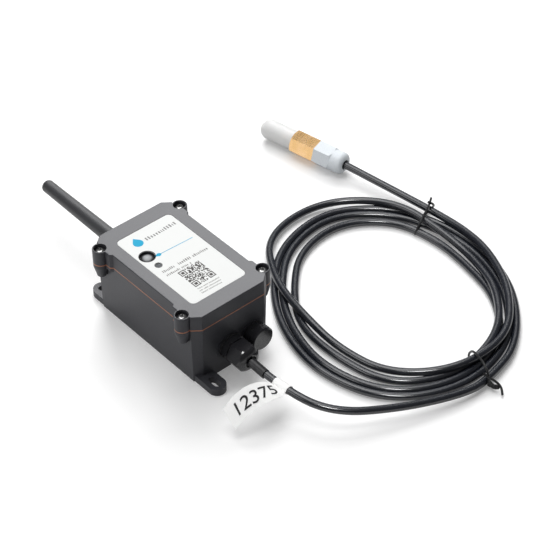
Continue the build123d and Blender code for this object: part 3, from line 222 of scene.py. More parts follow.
button_plastic = moulded("button plastic", (0.34, 0.35, 0.36), (0.39, 0.40, 0.41), 0.35, 0.4, 0.004)
black_moulding = moulded("black moulding", (0.014, 0.014, 0.015), (0.022, 0.022, 0.024), 0.5, 0.4, 0.008)
print_grey = moulded("grey print", (0.10, 0.09, 0.09), (0.15, 0.14, 0.13), 0.5, 0.2, 0.001)
print_pale = moulded("pale print", (0.20, 0.20, 0.20), (0.26, 0.26, 0.25), 0.5, 0.2, 0.001)
print_dark = moulded("dark print", (0.06, 0.055, 0.055), (0.09, 0.085, 0.08), 0.5, 0.2, 0.001)
print_black = moulded("black print", (0.015, 0.015, 0.018), (0.03, 0.03, 0.033), 0.45, 0.2, 0.001)
print_cyan = moulded("cyan print", (0.02, 0.36, 0.58), (0.03, 0.42, 0.66), 0.45, 0.2, 0.001)
board_green = moulded("board resist", (0.02, 0.16, 0.07), (0.03, 0.21, 0.10), 0.3, 0.8, 0.004)
terminal_green = moulded("terminal moulding", (0.05, 0.30, 0.15), (0.07, 0.36, 0.19), 0.45, 0.4, 0.006)
natural_nylon = moulded("natural nylon", (0.74, 0.72, 0.62), (0.80, 0.78, 0.70), 0.5, 0.4, 0.006)
cell_wrap = moulded("cell wrap", (0.08, 0.20, 0.12), (0.10, 0.24, 0.15), 0.3, 1.0, 0.01)
red_wire = moulded("red insulation", (0.38, 0.02, 0.015), (0.45, 0.03, 0.02), 0.4, 0.6, 0.005)
print("moulded finishes", len(bpy.data.materials))

# %% [markdown]
# ## The button's painted light and shade
#
# The push button lies deep in its hole, and its light and shade are painted into its colour: pale on its lit
# dome and black towards its edge, where the hole's wall shades it. A second material on its rim would give a
# hard line. The painted shade deepens slowly, so the colour goes by the distance from its own axis instead.

# %% The button's painted shade
BUTTON_PLACE = (-13.1, 13.2)
# Painted light and shade: pale on the lit top of the dome, black at its edge where the hole's wall shades it.
SHADE_REACH = 5.0
DOME_SHADE_STOPS = [(0.0, (0.46, 0.47, 0.48)), (0.40, (0.30, 0.31, 0.32)), (0.62, (0.03, 0.03, 0.032))]
from_axis = button_plastic.place(shift=(-BUTTON_PLACE[0] * MM, -BUTTON_PLACE[1] * MM, 0.0))
level = button_plastic.add("ShaderNodeVectorMath", {"operation": "MULTIPLY"},
                           {0: from_axis, 1: (1.0, 1.0, 0.0)})
reach = button_plastic.add("ShaderNodeVectorMath", {"operation": "LENGTH"}, {0: level}, output="Value")
button_plastic.set(Base_Color=button_plastic.ramp(reach * (1.0 / (SHADE_REACH * MM)), DOME_SHADE_STOPS))
print("the dome is black past", round(SHADE_REACH * DOME_SHADE_STOPS[-1][0], 1), "mm")

# %% [markdown]
# ## Metals and clear plastics
#
# Turned brass shows fine rings from the tool and a slow change of tint where it was handled. The screws
# are plated, so they are paler and smoother. The probe's cap is milky: light enters it and comes out
# softened, which a little subsurface light and transmission give.


# %% Turned metals
MARK_STRETCH = (0.06, 0.06, 1.0)
MARK_SPREAD = 0.14
MARK_DEPTH = 0.004
TINTS_PER_METRE = 160.0


def turned_metal(name, dark, light, rough, ring_mm, turn):
    """A machined metal with fine tool marks along one direction."""
    net = Net(name)
    where = net.place(turn=turn)
    streaked = net.add("ShaderNodeMapping", None, {"Vector": where, "Scale": MARK_STRETCH})
    marks = net.noise(streaked, 1.0 / (ring_mm * MM))
    tint = net.noise(where, TINTS_PER_METRE)
    net.set(Base_Color=net.ramp(tint, [(DARK_STOP, dark), (LIGHT_STOP, light)]))
    net.set(Metallic=1.0)
    net.set(Roughness=marks * MARK_SPREAD + (rough - MARK_SPREAD / 2))
    net.set(Normal=net.bump(marks, MARK_DEPTH))
    return net


# The rings go round the probe, which lies on its side and points this way on the floor.
PROBE_HEADING = math.radians(100.8)
brass = turned_metal("turned brass", (0.77, 0.49, 0.22), (0.85, 0.56, 0.29), 0.28, 0.35,
                     (math.radians(90), 0.0, -PROBE_HEADING))
steel = turned_metal("plated steel", (0.56, 0.56, 0.56), (0.68, 0.68, 0.67), 0.26, 0.3, (0.0, 0.0, 0.0))
tin = turned_metal("tinned sheet", (0.58, 0.59, 0.60), (0.68, 0.69, 0.70), 0.35, 0.5, (0.0, 0.0, 0.0))
print("metals", [net.material.name for net in (brass, steel, tin)])


# %% Clear and milky plastics
HAZES_PER_METRE = 350.0
HAZE_SPREAD = 0.1
HAZE_DEPTH = 0.01
SCATTER_REACH = (0.004, 0.004, 0.004)


def clear_plastic(name, colour, rough, through, milky):
    """A plastic that lets some light through and scatters some of it inside."""
    net = Net(name)
    haze = net.noise(net.place(), HAZES_PER_METRE, 3.0, 0.6)
    paler = tuple(min(1.0, part * 1.04) for part in colour)
    net.set(Base_Color=net.ramp(haze, [(0.3, colour), (0.7, paler)]))
    net.set(Roughness=haze * HAZE_SPREAD + (rough - HAZE_SPREAD / 2))
    net.set(Transmission_Weight=through)
    net.set(Subsurface_Weight=milky, Subsurface_Radius=SCATTER_REACH)
    net.set(Normal=net.bump(haze, HAZE_DEPTH))
    return net


cap_plastic = clear_plastic("milky cap", (0.95, 0.95, 0.94), 0.32, 0.35, 0.5)
window_plastic = clear_plastic("window", (0.16, 0.17, 0.18), 0.14, 0.3, 0.0)
lamp_epoxy = clear_plastic("lamp epoxy", (0.5, 0.8, 0.55), 0.2, 0.5, 0.0)
print("finishes", len(bpy.data.materials))

# %% [markdown]
# ## Dressing the CAD pieces
#
# The measured pieces keep their shapes and only get a finish. One table says which finish each piece has on
# the real object, so that it reads like a parts list.

# %% Dress the CAD pieces
DRESS = {
    housing_plastic: ["base_shell", "lid"],
    gasket_rubber: ["lid_gasket"],
    steel: ["lid_screws", "board_screws", "antenna_washer"],
    brass: ["thread_inserts", "antenna_connector", "antenna_nut", "antenna_collar", "probe_fitting"],
    label_film: ["front_label"],
    black_moulding: ["tactile_switch", "switch_plunger", "buffer_capacitor", "probe_sensor"],
    window_plastic: ["status_window"],
    lamp_epoxy: ["status_led"],
    board_green: ["main_board", "probe_board"],
    tin: ["radio_module"],
    terminal_green: ["screw_terminal"],
    natural_nylon: ["battery_plug"],
    cell_wrap: ["battery_cell"],
    red_wire: ["battery_leads", "sensor_leads"],
    gland_plastic: ["gland_body", "gland_nut", "gland_locknut", "vent_plug", "vent_locknut"],
    seal_rubber: ["gland_washer", "gland_insert", "vent_washer", "probe_seal"],
    antenna_rubber: ["antenna"],
    cable_jacket: ["antenna_pigtail", "cable_entry", "probe_cable_end"],
    sleeve_shrink: ["cable_sleeve"],
    grey_nylon: ["probe_nut"],
    cap_plastic: ["probe_cap"],
    button_plastic: ["act_button"],
}
for net, names in DRESS.items():
    for name in names:
        materials = NODES[name].data.materials
        materials.clear()
        materials.append(net.material)
print("dressed", sum(len(names) for names in DRESS.values()))

# %% [markdown]
# ## The cable
#
# The cable is one length of black jacketed wire, so it is one curve. It runs out of the gland and along the
# floor, goes round four and a third times, and the last stretch crosses over the others to the probe. A
# helix would be quicker, but it looks like a machine-made coil. The hank is loose: each turn has its own
# distance from an outer oval, at twelve angles. A loop turns those distances into points, and the lead and
# the tail are given point by point.

# %% The cable's route
CABLE_DIAMETER = 4.6
LEAD_POINTS = [
    (-2.8, -62.7, 15.9),
    (-2.8, -87.7, 14.6),
    (7.2, -117.4, 11.2),
    (41.6, -136.6, 6.8),
    (78.7, -150.0, 4.0),
]
TAIL_POINTS = [
    (171.8, -55.2, 6.2),
    (170.6, -29.2, 5.4),
    (167.2, -3.2, 5.4),
    (162.6, 18.7, 6.9),
    (159.1, 37.25, 7.9),
]
OVAL_CENTRE = (104.2, -62.0)
OVAL_SEMI = (67.7, 82.6)
OVAL_TILT = math.radians(-20.1)
OVAL_SQUARENESS = 2.3
STEP_DEG = 30
FIRST_DEG = 285
# Each row is one turn: how far inwards it lies from the oval, and how high, every 30 degrees.
TURNS = [
    [(1.0, 2.4), (2.0, 2.3), (2.6, 2.3), (8.0, 2.3), (8.3, 2.3), (3.5, 2.3),
     (6.5, 2.3), (4.3, 2.3), (-0.3, 2.3), (-2.1, 2.3), (-3.2, 2.3), (-0.6, 2.3)],
    [(5.0, 2.3), (6.8, 2.3), (7.8, 2.3), (12.8, 2.3), (14.2, 2.3), (8.6, 2.3),
     (11.2, 2.3), (9.2, 2.3), (4.6, 2.3), (3.0, 2.3), (1.9, 2.3), (4.2, 2.3)],
    [(9.7, 2.3), (13.6, 2.3), (18.8, 2.3), (22.4, 2.3), (20.0, 2.3), (16.8, 2.3),
     (18.8, 2.3), (16.6, 2.3), (9.8, 2.3), (13.6, 2.3), (9.0, 2.3), (9.2, 2.3)],
    [(11.7, 6.4), (12.6, 6.8), (13.2, 3.6), (17.2, 5.8), (7.0, 6.9), (-5.4, 3.2),
     (-5.0, 3.0), (6.3, 6.8), (14.2, 6.0), (19.4, 3.0), (16.2, 3.2), (9.6, 6.6)],
    [(6.4, 6.9), (5.6, 6.9), (4.4, 6.9)],
]


def oval_point(angle_deg, inwards, height, stretch):
    """A point at an angle about the hank's centre, set inwards from the oval, in millimetres."""
    angle = math.radians(angle_deg)
    local = angle - OVAL_TILT
    across = abs(math.cos(local) / OVAL_SEMI[0]) ** OVAL_SQUARENESS
    along = abs(math.sin(local) / OVAL_SEMI[1]) ** OVAL_SQUARENESS
    reach = ((across + along) ** (-1 / OVAL_SQUARENESS) - inwards) * stretch
    return (OVAL_CENTRE[0] + reach * math.cos(angle), OVAL_CENTRE[1] + reach * math.sin(angle), height)


# A smooth curve cuts the corners of its points, so they stand this much further out.
CORNER_STRETCH = 1.0 / math.cos(math.radians(STEP_DEG / 2))
# The lead joins the first turn here, a little outside the oval.
JOIN_DEG, JOIN_INWARDS, JOIN_HEIGHT = 266, -3.9, 2.9
turn_points = [oval_point(JOIN_DEG, JOIN_INWARDS, JOIN_HEIGHT, 1.0)]
for index, (inwards, height) in enumerate(step for row in TURNS for step in row):
    turn_points.append(oval_point(FIRST_DEG + STEP_DEG * index, inwards, height, CORNER_STRETCH))
cable_points = LEAD_POINTS + turn_points + TAIL_POINTS
print("cable points", len(cable_points))


# %% The cable's curve
def smooth_curve(name, points_mm, radius_mm, material, sides, smoothness):
    """A round wire along one smooth curve through the middles of its runs."""
    data = bpy.data.curves.new(name, "CURVE")
    data.dimensions = "3D"
    spline = data.splines.new("NURBS")
    spline.points.add(len(points_mm) - 1)
    for point, place in zip(spline.points, points_mm):
        point.co = (*[value * MM for value in place], 1.0)
    spline.order_u = 3
    spline.use_endpoint_u = True
    spline.resolution_u = smoothness
    data.bevel_depth = radius_mm * MM
    data.bevel_resolution = sides
    data.use_fill_caps = True
    data.materials.append(material)
    curve = bpy.data.objects.new(name, data)
    bpy.context.scene.collection.objects.link(curve)
    return curve


def curve_length(curve):
    """The length of a curve's own line in metres, read from a copy without thickness."""
    bare = curve.data.copy()
    bare.bevel_depth = 0.0
    bare.use_fill_caps = False
    probe = bpy.data.objects.new("measure", bare)
    bpy.context.scene.collection.objects.link(probe)
    bpy.context.view_layer.update()
    mesh = bpy.data.meshes.new_from_object(probe)
    spots = [vertex.co for vertex in mesh.vertices]
    total = sum((spots[edge.vertices[0]] - spots[edge.vertices[1]]).length for edge in mesh.edges)
    bpy.data.objects.remove(probe)
    bpy.data.meshes.remove(mesh)
    return total


cable = smooth_curve("cable", cable_points, CABLE_DIAMETER / 2, cable_jacket.material, sides=6, smoothness=10)
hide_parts("cable_lead", "cable_coil", "cable_tail")
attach(cable, "housing")
cable_metres = curve_length(cable)
print("cable", round(cable_metres, 3), "m")

# %% [markdown]
# ## The ties
#
# Two short coated wires hold the hank. Each goes once round the bundle and is closed just outside it. The
# upper one's ends only cross. The lower one's are twisted together, and a real twist is two wires wound
# round each other, so there each wire is its own curve on a small helix about the line that the pair
# follows.


# %% Tie wire
WIRE_RADIUS = 0.7


def tie_piece(name, wires_mm):
    """The wires of one tie as a single mesh piece."""
    curves = [smooth_curve(name + " wire", wire, WIRE_RADIUS, tie_coat.material, sides=3, smoothness=6)
              for wire in wires_mm]
    bpy.ops.object.select_all(action="DESELECT")
    for curve in curves:
        curve.select_set(True)
    bpy.context.view_layer.objects.active = curves[0]
    bpy.ops.object.convert(target="MESH")
    bpy.ops.object.join()
    piece = bpy.context.object
    piece.name = name
    bpy.ops.object.shade_smooth()
    bpy.ops.object.select_all(action="DESELECT")
    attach(piece, "housing")
    print(name, len(piece.data.vertices), "vertices")
    return piece


# %% Upper tie
UPPER_WIRE = [
    (174.5, -22.6, 10.0), (170.2, -25.6, 9.4), (165.2, -28.5, 9.9), (159.7, -31.1, 9.2),
    (154.7, -33.1, 7.6), (151.8, -33.8, 4.2), (150.6, -33.4, 1.4), (152.8, -32.5, 0.8),
    (160.2, -28.6, 0.8), (168.2, -24.1, 0.8), (174.0, -22.5, 1.4), (175.1, -24.6, 4.5),
    (173.2, -26.2, 7.8), (171.2, -26.4, 10.0), (169.6, -24.6, 10.8),
]
upper_tie = tie_piece("upper_tie", [UPPER_WIRE])
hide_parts("coil_tie_upper")

# %% Lower tie
LOWER_WIRES = [
    [(90.8, -148.2, 9.2), (91.6, -150.6, 7.8), (94.4, -153.0, 5.4), (95.4, -156.6, 3.8),
     (94.8, -159.3, 2.4), (92.9, -161.5, 1.0)],
    [(94.6, -157.0, 2.0), (92.0, -155.8, 2.2), (91.8, -151.8, 3.2), (93.2, -150.6, 6.4),
     (94.5, -146.8, 10.0), (96.6, -140.6, 10.8), (98.2, -135.4, 10.2), (99.9, -130.8, 8.0),
     (100.2, -128.4, 4.2), (99.6, -129.0, 1.2), (98.6, -137.2, 0.8), (96.2, -148.2, 0.8),
     (94.2, -152.2, 1.4), (93.8, -155.2, 2.6)],
]
TWIST_LINE = [(91.8, -151.8, 3.0), (92.6, -154.3, 2.6), (94.8, -156.8, 2.6)]
TWIST_TURNS = 2
STEPS_PER_TURN = 6


def twisted_wire(line_mm, radius_mm, turns, phase):
    """Points of one of two wires that wind round a line."""
    points = []
    steps = turns * STEPS_PER_TURN
    line = [Vector(point) for point in line_mm]
    for step in range(steps + 1):
        share = step / steps * (len(line) - 1)
        part = min(int(share), len(line) - 2)
        here = line[part].lerp(line[part + 1], share - part)
        ahead = (line[part + 1] - line[part]).normalized()
        side = ahead.orthogonal().normalized()
        over = ahead.cross(side)
        angle = step / STEPS_PER_TURN * math.tau + phase
        points.append(tuple(here + (side * math.cos(angle) + over * math.sin(angle)) * radius_mm))
    return points


twist = [twisted_wire(TWIST_LINE, WIRE_RADIUS, TWIST_TURNS, phase) for phase in (0.0, math.pi)]
lower_tie = tie_piece("lower_tie", LOWER_WIRES + twist)
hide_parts("coil_tie_lower")

# %% [markdown]
# ## The flag on the lead
#
# The flag is a strip of white tape, wrapped once round the cable, with its long end standing off to the left
# and curling down. A cloth simulation would let it hang like fabric, but tape is stiff and keeps its bend.
# So its two long edges are lists of points, because the tape also twists: the edge away from the box hangs
# lower. A flat strip is extruded step by step, and then each pair of corners is moved to its place on the
# two edges.

# %% The flag's edges
WRAP_NEAR = Vector((-1.9, -82.0, 14.7))
WRAP_FAR = Vector((-0.45, -91.4, 14.0))
WRAP_RADIUS = 2.75
WRAP_STEPS = 16
WRAP_FROM, WRAP_TO = math.radians(-170), math.radians(170)
FREE_EDGES = [
    ((-7.2, -81.7, 17.4), (-7.4, -93.2, 15.2)),
    ((-11.0, -81.3, 20.0), (-11.8, -92.8, 16.1)),
    ((-15.4, -80.6, 21.6), (-17.6, -92.1, 16.0)),
    ((-19.7, -79.9, 22.0), (-22.6, -91.4, 15.0)),
    ((-24.0, -79.1, 21.1), (-26.9, -90.6, 13.5)),
    ((-28.6, -78.4, 19.0), (-30.6, -89.9, 11.6)),
    ((-32.0, -77.7, 15.9), (-33.5, -89.2, 9.1)),
    ((-35.0, -77.0, 12.1), (-36.5, -88.5, 5.9)),
]
flag_edges = []
for step in range(WRAP_STEPS + 1):
    angle = WRAP_FROM + (WRAP_TO - WRAP_FROM) * step / WRAP_STEPS
    out = Vector((math.cos(angle), 0.0, math.sin(angle))) * WRAP_RADIUS
    flag_edges.append((WRAP_NEAR + out, WRAP_FAR + out))


def smooth_row(points, parts):
    """More points along a row, on a curve that heads at each given point along its neighbours' line."""
    row = [Vector(point) for point in points]
    more = []
    for index in range(len(row) - 1):
        before = row[max(index - 1, 0)]
        after = row[min(index + 2, len(row) - 1)]
        start, stop = row[index], row[index + 1]
        for part in range(parts):
            t = part / parts
            bend = (stop - before) * t * (1 - t) ** 2 / 2 - (after - start) * t * t * (1 - t) / 2
            more.append(start.lerp(stop, t * t * (3 - 2 * t)) + bend)
    return more + [row[-1]]


STEPS_BETWEEN = 4
free_near = smooth_row([flag_edges[-1][0]] + [near for near, far in FREE_EDGES], STEPS_BETWEEN)
free_far = smooth_row([flag_edges[-1][1]] + [far for near, far in FREE_EDGES], STEPS_BETWEEN)
free_edges = list(zip(free_near, free_far))
flag_edges += free_edges[1:]
print("flag steps", len(flag_edges))


# %% Extrude the strip
def strip_piece(name, edges, thickness_mm, material):
    """Extrude one edge step by step, put its corners on two rows of points, and thicken the sheet."""
    bpy.ops.mesh.primitive_plane_add(size=1.0, location=(0.0, 0.0, 0.0))
    piece = bpy.context.object
    piece.name = name
    mesh = piece.data
    for vertex, side in zip(mesh.vertices, (0, 1, 0, 1)):
        vertex.co = (0.0, side * MM, 0.0)
    bpy.ops.object.mode_set(mode="EDIT")
    bpy.ops.mesh.select_all(action="SELECT")
    bpy.ops.mesh.remove_doubles(threshold=0.0001)
    bpy.ops.mesh.select_all(action="SELECT")
    for _ in edges[1:]:
        bpy.ops.mesh.extrude_region_move(TRANSFORM_OT_translate={"value": (MM, 0.0, 0.0)})
    bpy.ops.object.mode_set(mode="OBJECT")
    for vertex in mesh.vertices:
        vertex.co = edges[round(vertex.co.x / MM)][round(vertex.co.y / MM)] * MM
    bpy.ops.object.mode_set(mode="EDIT")
    bpy.ops.mesh.select_all(action="SELECT")
    bpy.ops.mesh.normals_make_consistent(inside=False)
    bpy.ops.object.mode_set(mode="OBJECT")
    thick = piece.modifiers.new("thickness", "SOLIDIFY")
    thick.thickness = thickness_mm * MM
    bpy.ops.object.modifier_apply(modifier=thick.name)
    bpy.ops.object.shade_smooth_by_angle(angle=math.radians(40))
    mesh.materials.append(material)
    piece.select_set(False)
    return piece


FLAG_THICKNESS = 0.25
flag = strip_piece("flag", flag_edges, FLAG_THICKNESS, flag_film.material)
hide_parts("cable_flag")
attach(flag, "housing")
print("flag", len(flag.data.polygons), "faces")

# %% [markdown]
# ## Digits on the flag
#
# A material could paint the digits, but a pattern for each one is long to write, and a text object has their
# outlines ready. So they are a text made a mesh, cut finely, and laid on the strip corner by corner: how far
# along the strip, and how far across it.

# %% The digits
DIGITS = "12375"
DIGIT_SIZE = 10.0
DIGIT_BOLD = 0.05
FLAG_WIDTH = 12.5
DIGIT_HEIGHT = 6.6
DIGIT_LENGTH = 26.0
DIGIT_START = 3.5
DIGIT_LIFT = 0.2


def on_flag(edges, reach, across):
    """A point on the strip, a distance along its middle and a share of its width, just above it."""
    for (near, far), (next_near, next_far) in zip(edges, edges[1:]):
        span = ((next_near + next_far) - (near + far)).length / 2
        if reach <= span:
            break
        reach -= span
    share = reach / span
    edge = near.lerp(next_near, share), far.lerp(next_far, share)
    ahead = (next_near + next_far) - (near + far)
    up = (edge[1] - edge[0]).cross(ahead).normalized()
    up = up if up.z > 0 else -up
    return edge[0].lerp(edge[1], across) + up * DIGIT_LIFT


bpy.ops.object.text_add()
digits = bpy.context.object
digits.data.body = DIGITS
digits.data.size = DIGIT_SIZE * MM
digits.data.offset = DIGIT_BOLD * MM
bpy.ops.object.convert(target="MESH")
digits.name = "flag_digits"
bpy.ops.object.mode_set(mode="EDIT")
bpy.ops.mesh.select_all(action="SELECT")
bpy.ops.mesh.subdivide(number_cuts=3)
bpy.ops.object.mode_set(mode="OBJECT")
rows = [vertex.co.y for vertex in digits.data.vertices]
columns = [vertex.co.x for vertex in digits.data.vertices]
low, high = min(rows), max(rows)
left, right = min(columns), max(columns)
for vertex in digits.data.vertices:
    reach = DIGIT_START + DIGIT_LENGTH * (right - vertex.co.x) / (right - left)
    rise = (vertex.co.y - low) / (high - low) - 0.5
    vertex.co = on_flag(free_edges, reach, 0.5 - rise * DIGIT_HEIGHT / FLAG_WIDTH) * MM
digits.data.materials.append(print_black.material)
digits.select_set(False)
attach(digits, "housing")
print("digits", [round(side / MM, 1) for side in digits.dimensions])

# %% [markdown]
# ## Print on the label
#
# The label's print is pale and small: rows of short bars, a square of small cells, a cyan line that points to
# the button, and a drop for the humidity that the probe feels. A material could paint them, but a plate keeps
# its edge sharp in a close view. So each mark is a thin plate that lies on the film, cut as a rectangle or
# along its own outline.

# %% Helpers for flat marks
LABEL_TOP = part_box("front_label")[1].z / MM
INK = 0.03
rng = random.Random(7)


def ink_piece(name, rectangles, material):
    """Thin plates from (x, y, width, height, turn) in millimetres, as one piece."""
    plates = []
    for x, y, wide, tall, turned_by in rectangles:
        bpy.ops.mesh.primitive_plane_add(size=1.0, location=(0.0, 0.0, 0.0))
        plate = bpy.context.object
        spin = Matrix.Rotation(turned_by, 4, "Z") @ Matrix.Diagonal((wide * MM, tall * MM, 1.0, 1.0))
        plate.data.transform(Matrix.Translation(Vector((x, y, LABEL_TOP)) * MM) @ spin)
        plates.append(plate)
    for plate in plates:
        plate.select_set(True)
    bpy.context.view_layer.objects.active = plates[0]
    if len(plates) > 1:
        bpy.ops.object.join()
    finish_ink(bpy.context.object, name, material)


def finish_ink(piece, name, material):
    """Give flat marks their thickness and finish."""
    bpy.ops.object.mode_set(mode="EDIT")
    bpy.ops.mesh.select_all(action="SELECT")
    bpy.ops.mesh.extrude_region_move(TRANSFORM_OT_translate={"value": (0.0, 0.0, INK * MM)})
    bpy.ops.mesh.select_all(action="SELECT")
    bpy.ops.mesh.normals_make_consistent(inside=False)
    bpy.ops.object.mode_set(mode="OBJECT")
    piece.name = name
    piece.data.materials.clear()
    piece.data.materials.append(material)
    piece.select_set(False)
    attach(piece, "housing")


# %% Rows of short bars
# Widths and gaps are for a row of this height, and scale with a row's own height.
DRAWN_HEIGHT = 1.7
BAR_WIDTHS = (0.45, 0.95)
BAR_SHARE = 0.62
BAR_GAP = 0.32
BAR_HEIGHTS = (1.0, 0.72, 0.72)
ROW_END = 0.4
# Each row: from where, to where, how tall, and which bars are left out.
BAR_ROWS = [
    ((-14.9, -2.7), (16.6, -3.3), 2.0, {8, 9, 17}),
    ((-15.0, -6.3), (2.4, -6.7), 1.7, {9, 15}),
    ((-9.0, -26.0), (6.0, -26.4), 0.9, {6, 14}),
    ((-9.4, -28.0), (5.4, -28.4), 0.9, {4, 11}),
    ((-9.6, -30.0), (4.8, -30.4), 0.9, {8}),
]
TOP_ROW = ((-4.9, 25.1), (17.1, 25.6), 2.6, set())


def bar_row(start, end, tall, gaps):
    """A row of short bars of random width between two points, with some left out."""
    start = Vector(start)
    end = Vector(end)
    heading = end - start
    length = heading.length
    turned_by = math.atan2(heading.y, heading.x)
    bars = []
    reach = 0.0
    count = 0
    scale = tall / DRAWN_HEIGHT
    while reach < length - ROW_END:
        wide = rng.uniform(*BAR_WIDTHS) * scale
        if count not in gaps:
            rise = rng.choice(BAR_HEIGHTS)
            centre = start + heading.normalized() * (reach + wide / 2)
            lift = Vector((-heading.y, heading.x)).normalized() * (rise - 1.0) * tall / 2
            bars.append((centre.x + lift.x, centre.y + lift.y, wide * BAR_SHARE, tall * rise, turned_by))
        reach += wide + BAR_GAP * scale
        count += 1
    return bars


row_bars = [bar for row in BAR_ROWS for bar in bar_row(*row)]
ink_piece("label_type", row_bars, print_grey.material)
top_bars = bar_row(*TOP_ROW)
ink_piece("label_name", top_bars, print_pale.material)
print("bars", len(row_bars), "and", len(top_bars))

# %% The square of cells
CODE_CELLS = 25
FILLED_SHARE = 0.5
CODE_LOW = Vector((-8.9, -24.2))
CODE_RIGHT = Vector((15.1, 0.5)) / CODE_CELLS
CODE_UP = Vector((-0.3, 15.6)) / CODE_CELLS
CORNER_CELLS = 7


def in_corner(column, row):
    """True inside one of the three corner squares."""
    near_left = column <= CORNER_CELLS
    near_right = column >= CODE_CELLS - CORNER_CELLS - 1
    near_low = row <= CORNER_CELLS
    near_top = row >= CODE_CELLS - CORNER_CELLS - 1
    return (near_left and near_low) or (near_left and near_top) or (near_right and near_low)


code_marks = []
tilt = math.atan2(CODE_RIGHT.y, CODE_RIGHT.x)
for row in range(CODE_CELLS):
    for column in range(CODE_CELLS):
        if not in_corner(column, row) and rng.random() < FILLED_SHARE:
            centre = CODE_LOW + CODE_RIGHT * (column + 0.5) + CODE_UP * (row + 0.5)
            code_marks.append((centre.x, centre.y, CODE_RIGHT.length, CODE_UP.length, tilt))
# Each corner square is four bars and a core, given by their middles and sizes in cells.
CORNER_BARS = [(3.5, 0.5, 7, 1), (3.5, 6.5, 7, 1), (0.5, 3.5, 1, 5), (6.5, 3.5, 1, 5), (3.5, 3.5, 3, 3)]
LAST_CORNER = CODE_CELLS - CORNER_CELLS
for column, row in ((0, 0), (0, LAST_CORNER), (LAST_CORNER, 0)):
    for along, up, wide, tall in CORNER_BARS:
        centre = CODE_LOW + CODE_RIGHT * (column + along) + CODE_UP * (row + up)
        code_marks.append((centre.x, centre.y, CODE_RIGHT.length * wide, CODE_UP.length * tall, tilt))
ink_piece("label_code", code_marks, print_dark.material)
print("cells and corner bars", len(code_marks))


# %% Cyan line, pointer and drop
def ink_outline(name, outline, material):
    """A flat mark with a free outline: a circle is placed and its corners moved to the outline."""
    bpy.ops.mesh.primitive_circle_add(vertices=len(outline), radius=MM, fill_type="NGON")
    piece = bpy.context.object
    for vertex, (x, y) in zip(piece.data.vertices, outline):
        vertex.co = Vector((x, y, LABEL_TOP)) * MM
    finish_ink(piece, name, material)


LINE_START = Vector((-6.0, 10.1))
LINE_END = Vector((16.0, 9.2))
LINE_WIDTH = 0.42
line_middle = (LINE_START + LINE_END) / 2
line_turn = math.atan2(LINE_END.y - LINE_START.y, LINE_END.x - LINE_START.x)
line_plate = (line_middle.x, line_middle.y, (LINE_END - LINE_START).length, LINE_WIDTH, line_turn)
ink_piece("label_line", [line_plate], print_cyan.material)
POINTER = [(-10.0, 10.25), (-7.6, 11.5), (-6.4, 11.3), (-5.6, 10.15), (-6.4, 9.0), (-7.6, 8.9)]
ink_outline("label_pointer", POINTER, print_cyan.material)

# A drop is a circle whose top is pulled in sideways and drawn up to a point.
DROP_CENTRE = Vector((-9.9, 25.4))
DROP_RADIUS = 3.1
DROP_PULL_IN = 0.72
DROP_RISE = 1.6
DROP_CORNERS = 28
drop = []
for step in range(DROP_CORNERS):
    angle = math.tau * step / DROP_CORNERS
    pinch = max(0.0, math.sin(angle)) ** 3
    drop.append((DROP_CENTRE.x + DROP_RADIUS * math.cos(angle) * (1.0 - DROP_PULL_IN * pinch),
                 DROP_CENTRE.y + DROP_RADIUS * math.sin(angle) + DROP_RISE * pinch))
ink_outline("label_drop", drop, print_cyan.material)
print("drop", len(drop), "corners")

# %% [markdown]
# ## The printed ring round the button
#
# The button sits in a round hole whose wall is in shade, with a thin dark edge printed round it. The ring is
# a circle that is inset once, so that only its rim is left.


# %% Ring and window edge
def ink_ring(name, centre, outer, inner, material, slot):
    """A flat ring between two radii in millimetres."""
    bpy.ops.mesh.primitive_circle_add(vertices=64, radius=outer * MM, fill_type="NGON",
                                      location=(0.0, 0.0, 0.0))
    piece = bpy.context.object
    bpy.ops.object.mode_set(mode="EDIT")
    bpy.ops.mesh.select_all(action="SELECT")
    bpy.ops.mesh.inset(thickness=(outer - inner) * MM, use_boundary=True)
    bpy.ops.mesh.delete(type="FACE")
    bpy.ops.object.mode_set(mode="OBJECT")
    piece.data.transform(Matrix.Translation(Vector((centre[0], centre[1], LABEL_TOP)) * MM))
    finish_ink(piece, name, material)


BUTTON_RING = (4.9, 4.52)
WINDOW_RING = (2.25, 1.97)
WINDOW_PLACE = (-12.9, 3.4)
ink_ring("button_ring", BUTTON_PLACE, *BUTTON_RING, print_black.material, "black_plastic")
ink_ring("window_ring", WINDOW_PLACE, *WINDOW_RING, print_dark.material, "black_plastic")
print("rings at", BUTTON_PLACE, "and", WINDOW_PLACE)

# %% [markdown]
# ## The cable's length
#
# A cable is stiff, heavy and of a fixed length. This cell prints its length.

print("cable declared with", round(cable_metres, 2), "m")

# %% [markdown]
# ## Floor and light
#
# The object lies on a white table under large soft lamps, the strongest behind it, so that the near sides
# are in shade. The floor is lit like the object, so it keeps the shadows. It is whiter where the camera, a
# gloss or a clear plastic looks at it, and more so far from the object, so that it reads as a white
# background without lighting the object from below.

# %% Floor
TABLE_SIZE = 6.0
TABLE_DROP = 0.0001
TABLE_BOUNCE = (0.34, 0.34, 0.34)
TABLE_SEEN = (0.87, 0.87, 0.87)
FLOOR_WHITE = 0.20
